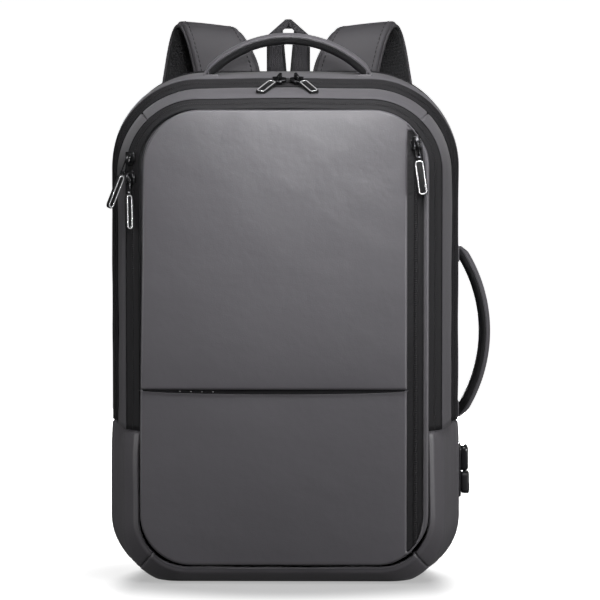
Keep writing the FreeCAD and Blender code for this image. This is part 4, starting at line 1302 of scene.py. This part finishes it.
def make_hang_loop():
    """Webbing that rises in two legs and folds over to a peak."""
    middle = TOP_HANDLE_X
    house = [(0.0188, 0.446), (0.0188, 0.4812), (0.0028, 0.4962), (-0.0028, 0.4962),
             (-0.0188, 0.4812), (-0.0188, 0.446)]
    hole = [(0.0021, 0.448), (0.0051, 0.4885), (-0.0051, 0.4885), (-0.0021, 0.448)]
    flat_webbing("hang_loop_legs", [(middle + x, z) for x, z in house], 0.0670, 0.0016, 0.0,
                 [[(middle + x, z) for x, z in hole]])
    fold = [(0.0190, 0.4826), (0.0190, 0.4783), (0.0146, 0.4783), (0.0, 0.4914), (0.0, 0.4972),
            (0.0026, 0.4970)]
    for side, sign, y in (("left", -1, 0.0656), ("right", 1, 0.0650)):
        corners = [(middle + sign * x, z) for x, z in fold]
        flat_webbing(f"hang_loop_fold_{side}", corners[::-sign], y, 0.0014, -sign * 0.83)
    edges = [(sign, low, high) for sign in (-1, 1) for low, high in ((0.0186, 0.0186), (0.0023, 0.0053))]
    for index, (sign, low, high) in enumerate(edges):
        path = [(middle + sign * (low + (high - low) * t), 0.0668, 0.446 + 0.034 * t)
                for t in np.linspace(0, 1, 12)]
        edge = sweep(f"hang_loop_edge_{index}", path, (0, -1, 0), oval(0.0011, 0.0010, 10), "under")
        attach(edge, "root")


# ---------------------------------------------------------------- sliders and pulls

# Middle of a pull's grip, and half sizes and corner radius of its body and of its rim, out and in.
GRIP_X = 0.0303
GRIP_RINGS = [(0.0157, 0.0045, 0.0036), (0.0148, 0.0036, 0.0029), (0.0138, 0.0026, 0.0021)]
RIM_THICK = 0.0006
BAND_OUT = (-8.5, -13, 0)
TOP_OUT = (0, -7.7, 13.6)
# Name, place in mm, the way it slides, the way out, the way its pull hangs, and whether the pull twists.
RUNNERS = [
    ("main_left", (-5, -2.3, 441), (-1, 0, 0), TOP_OUT, (-0.36, -0.88, -0.30), False),
    ("main_right", (10.5, -2.3, 441), (1, 0, 0), TOP_OUT, (0.36, -0.88, -0.30), False),
    ("front_upper", (-133.4, -61.8, 373), (0, 0, 1), BAND_OUT, (-0.36, -0.10, -0.93), True),
    ("front_lower", (-133.4, -61.8, 357), (0, 0, -1), BAND_OUT, (0.02, -0.08, -1), True),
    ("pocket", (115.15, -68.9, 387), (0, 0, -1), (0, -1, 0), (0.14, -0.05, -1), False),
]


def facing(origin, along, out):
    """A placement whose X runs along one direction and whose Z points outward."""
    x = Vector(along).normalized()
    side = Vector(out).cross(x).normalized()
    z = x.cross(side)
    turn = Matrix((x, side, z)).transposed().to_4x4()
    return Matrix.Translation(Vector(origin) / 1000) @ turn


def slider_shapes(place, turn):
    """Boat-shaped body, cheeks, and a swivelled bail over its middle."""
    half = [(-6.2, 2.4), (-5.2, 3.1), (-1.0, 3.9), (3.0, 4.7), (6.2, 4.5)]
    boat = [(x / 1000, y / 1000) for x, y in half + [(x, -y) for x, y in reversed(half)]]
    swivel = place @ Matrix.Rotation(turn, 4, "Z")
    return [
        prism(boat, 0.0003, 0.0023, place, bevel=0.0007),
        *[block((0.0076, 0.0014, 0.0032), 0.0006, (0.0012, y, 0.0004), place) for y in (-0.0040, 0.0040)],
        *[block((0.0018, 0.0028, 0.0044), 0.0007, (x, 0, 0.0034), swivel) for x in (-0.0030, 0.0030)],
        block((0.0078, 0.0028, 0.0016), 0.0007, (0, 0, 0.0058), swivel),
    ]


def make_runners():
    """The five sliders, each with its pull."""
    for name, origin, along, out, hang, twisted in RUNNERS:
        place = facing(origin, along, out)
        lean = place.to_3x3().inverted() @ Vector(hang)
        slider = merge(f"{name}_slider_metal", slider_shapes(place, math.atan2(lean.y, lean.x)),
                       "metal")
        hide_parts(f"{name}_slider")
        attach(slider, f"{name}_slider")
        eye = Vector(origin) + Vector(out).normalized() * 4.2
        make_pull(name, facing(eye, hang, out), twisted)


def make_pull(name, grip, twisted):
    """A link, and a rubber ring with a silver rim on both of its faces; the rim's faint glow is a painted
    highlight.
    """
    link = [
        block((0.0012, 0.0046, 0.0012), 0.0005, (0, 0, 0), grip),
        block((0.0128, 0.0010, 0.0012), 0.0004, (0.0060, 0.0018, 0), grip),
        block((0.0128, 0.0010, 0.0012), 0.0004, (0.0060, -0.0018, 0), grip),
        block((0.0030, 0.0046, 0.0014), 0.0005, (0.0132, 0, 0), grip),
    ]
    fork = merge(f"{name}_pull_link", link, "metal")
    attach(fork, f"{name}_pull")
    turn = grip @ (Matrix.Rotation(math.pi / 2, 4, "X") if twisted else Matrix())
    outer, big, small = (rounded(*size, GRIP_X, 0, 10) for size in GRIP_RINGS)
    body = plate(f"{name}_pull_grip", outer, -0.0012, 0.0012, turn, "rubber", "pull_rubber", bevel=0.0006)
    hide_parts(f"{name}_pull")
    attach(body, f"{name}_pull")
    rims = [prism(big, low, low + RIM_THICK, turn, [small], 0.0002) for low in (0.0009, -0.0015)]
    rim = merge(f"{name}_pull_rim_ring", rims, "rim")
    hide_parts(f"{name}_pull_rim")
    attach(rim, f"{name}_pull")


# ---------------------------------------------------------------- charging port

PORT_Y = JOINT["usb_cap_flip"][1]


def port_outline(half_y, half_z, radius, z, steps=8):
    """A rounded outline on the side of the bag, in Y and Z."""
    return rounded(half_y, half_z, radius, PORT_Y, z, steps)


def make_port():
    """The charging port: housing, socket, tongue and rubber cap."""
    hole = port_outline(0.0068, 0.0031, 0.0006, 0.0805, 4)
    plate = prism(port_outline(0.012, 0.024, 0.005, 0.092), 0.1548, 0.1578, SIDEWAYS, [hole], 0.0007)
    hood = prism(port_outline(0.0105, 0.0116, 0.0045, 0.1029), 0.1570, 0.1643, SIDEWAYS, bevel=0.0026)
    housing = merge("usb_housing_shell", [plate, hood], "port")
    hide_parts("usb_housing")
    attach(housing, "root")
    inner = port_outline(0.0063, 0.0026, 0.0004, 0.0805, 4)
    shell = prism(hole, 0.1450, 0.1576, SIDEWAYS, [inner], 0)
    socket = merge("usb_socket_shell", [shell], "steel", False)
    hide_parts("usb_socket")
    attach(socket, "root")
    tongue = merge("usb_tongue", [block((0.0105, 0.0098, 0.0016), 0.0003, (0.1510, PORT_Y, 0.0818))],
                   "tongue")
    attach(tongue, "root")
    lid = prism(port_outline(0.0105, 0.0098, 0.004, 0.0808), 0.1580, 0.1652, SIDEWAYS, bevel=0.0014)
    ribs = [block((0.0010, 0.0130, 0.0008), 0.0003, (0.1653, PORT_Y, 0.0740 + k * 0.0022)) for k in range(3)]
    cap = merge("usb_cap_rubber", [lid, *ribs], "cap")
    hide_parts("usb_cap")
    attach(cap, "usb_cap")


# ---------------------------------------------------------------- set, light and camera

FLOOR_RADIUS = 1.6
WALL_RADIUS = 4.5
WALL_LOW = -6
WALL_HIGH = 3
ROUND = 96  # corners of the floor and of the backdrop


def ring_of_points(radius, z):
    """Points of a round outline at a height."""
    angles = np.linspace(0, 2 * np.pi, ROUND, endpoint=False)
    return [(radius * math.cos(a), radius * math.sin(a), z) for a in angles]


def studio_piece(name, corners, faces, material):
    """A piece of the studio that can be seen but throws no light on the bag."""
    mesh = bpy.data.meshes.new(name)
    mesh.from_pydata(corners, [], faces)
    mesh.materials.append(material)
    made = link_object(name, mesh)
    made.visible_diffuse = False
    made.visible_glossy = False


def make_floor():
    """A pale satin floor, its glow dimmed round the bag as a painted contact shadow, brightening away from
    the bag until it meets the backdrop.
    """
    pale, tree, surface = shader("floor_pale", (0.14, 0.14, 0.142), 0.7)
    emit(surface, (1, 1, 1), 1)
    place = node(tree, "ShaderNodeTexCoord")
    squeeze = node(tree, "ShaderNodeMapping")
    half_x, half_y = 0.34, 0.26  # of the oval that the painted shadow's fading is measured by
    squeeze.inputs["Scale"].default_value = (1 / half_x, 1 / half_y, 1)
    tree.links.new(place.outputs["Object"], squeeze.inputs["Vector"])
    away = node(tree, "ShaderNodeVectorMath", operation="LENGTH")
    tree.links.new(squeeze.outputs[0], away.inputs[0])
    # Dimmer glow near the bag and brighter glow away from it: a painted soft shadow on the floor.
    painted_shadow_glow = node(tree, "ShaderNodeMapRange", interpolation_type="SMOOTHSTEP")
    for name, number in (("From Min", 0.40), ("From Max", 0.75), ("To Min", 0.40), ("To Max", 0.98)):
        painted_shadow_glow.inputs[name].default_value = number
    tree.links.new(away.outputs["Value"], painted_shadow_glow.inputs["Value"])
    tree.links.new(painted_shadow_glow.outputs[0], surface.inputs["Emission Strength"])
    studio_piece("floor", ring_of_points(FLOOR_RADIUS, 0), [tuple(range(ROUND))], pale)


def make_backdrop():
    """A white cylinder round the studio, and a faint world beyond it."""
    white, _, surface = shader("backdrop_white", (0.9, 0.9, 0.9), 0.9)
    emit(surface, (1, 1, 1), 0.95)
    wall = ring_of_points(WALL_RADIUS, WALL_LOW) + ring_of_points(WALL_RADIUS, WALL_HIGH)
    sides = [(k, (k + 1) % ROUND, ROUND + (k + 1) % ROUND, ROUND + k) for k in range(ROUND)]
    studio_piece("backdrop", wall, sides, white)
    world = bpy.data.worlds.new("studio")
    world.use_nodes = True
    world.node_tree.nodes["Background"].inputs[0].default_value = (1, 1, 1, 1)
    world.node_tree.nodes["Background"].inputs[1].default_value = 0.05
    scene = bpy.context.scene
    scene.world = world
    scene.view_settings.view_transform = "Standard"


def make_lights():
    """Soft discs of light, and narrow spots."""
    # Name, place, aim, size, power, and the cone of a spot in degrees or 0 for a disc.
    lights = [
        ("top_light", (0.05, -0.36, 0.86), (0.02, -0.06, 0.40), 0.45, 5.2, 0),
        ("front_light", (0.6, -2.6, 1.5), (0, 0, 0.3), 1.4, 0.7, 0),
        ("right_light", (1.5, -1.1, 0.8), (0, 0, 0.3), 0.8, 4.5, 0),
        ("left_light", (-1.6, -0.8, 0.7), (0, 0, 0.3), 0.8, 0.4, 0),
        ("back_light", (0, 2.3, 0.30), (0, 0.1, 0.25), 0.5, 60.0, 0),
        ("panel_light", (0.25, -1.5, 0.85), (0.02, -0.07, 0.435), 0.30, 88.0, 17),
        ("low_right_light", (1.6, -0.9, 0.40), (0.02, -0.03, 0.13), 0.30, 76.0, 25),
        ("low_left_light", (-1.6, -0.9, 0.40), (0, -0.03, 0.12), 0.30, 44.0, 24),
    ]
    for name, place, target, size, power, cone in lights:
        data = bpy.data.lights.new(name, "SPOT" if cone else "AREA")
        if cone:
            data.shadow_soft_size = size / 2
            data.spot_size = math.radians(cone)
            data.spot_blend = 1.0
        else:
            data.shape = "DISK"
            data.size = size
        data.energy = power
        lamp = link_object(name, data)
        lamp.location = place
        lamp.rotation_euler = (Vector(target) - Vector(place)).to_track_quat("-Z", "Y").to_euler()


def make_camera():
    """A long lens that looks down a little from the front."""
    aim = Vector((0.0136, -0.02, 0.2472))
    azimuth, elevation, distance = math.radians(0.7), math.radians(3.5), 3.0
    way = Vector((math.sin(azimuth) * math.cos(elevation), -math.cos(azimuth) * math.cos(elevation),
                  math.sin(elevation)))
    data = bpy.data.cameras.new("camera")
    data.sensor_fit = "VERTICAL"
    data.angle = math.radians(10.13)
    camera = link_object("camera", data)
    camera.location = aim + way * distance
    camera.rotation_euler = (-way).to_track_quat("-Z", "Y").to_euler()
    bpy.context.scene.camera = camera


make_rear_gusset()
make_middle_gusset()
make_zip_bands()
make_boot()
make_front_face()
make_inside()
make_back_panel()
make_back_pads()
make_yoke()
make_strap("left", -1)
make_strap("right", 1)
make_handles()
make_hang_loop()
make_runners()
make_port()
make_floor()
make_backdrop()
make_lights()
make_camera()
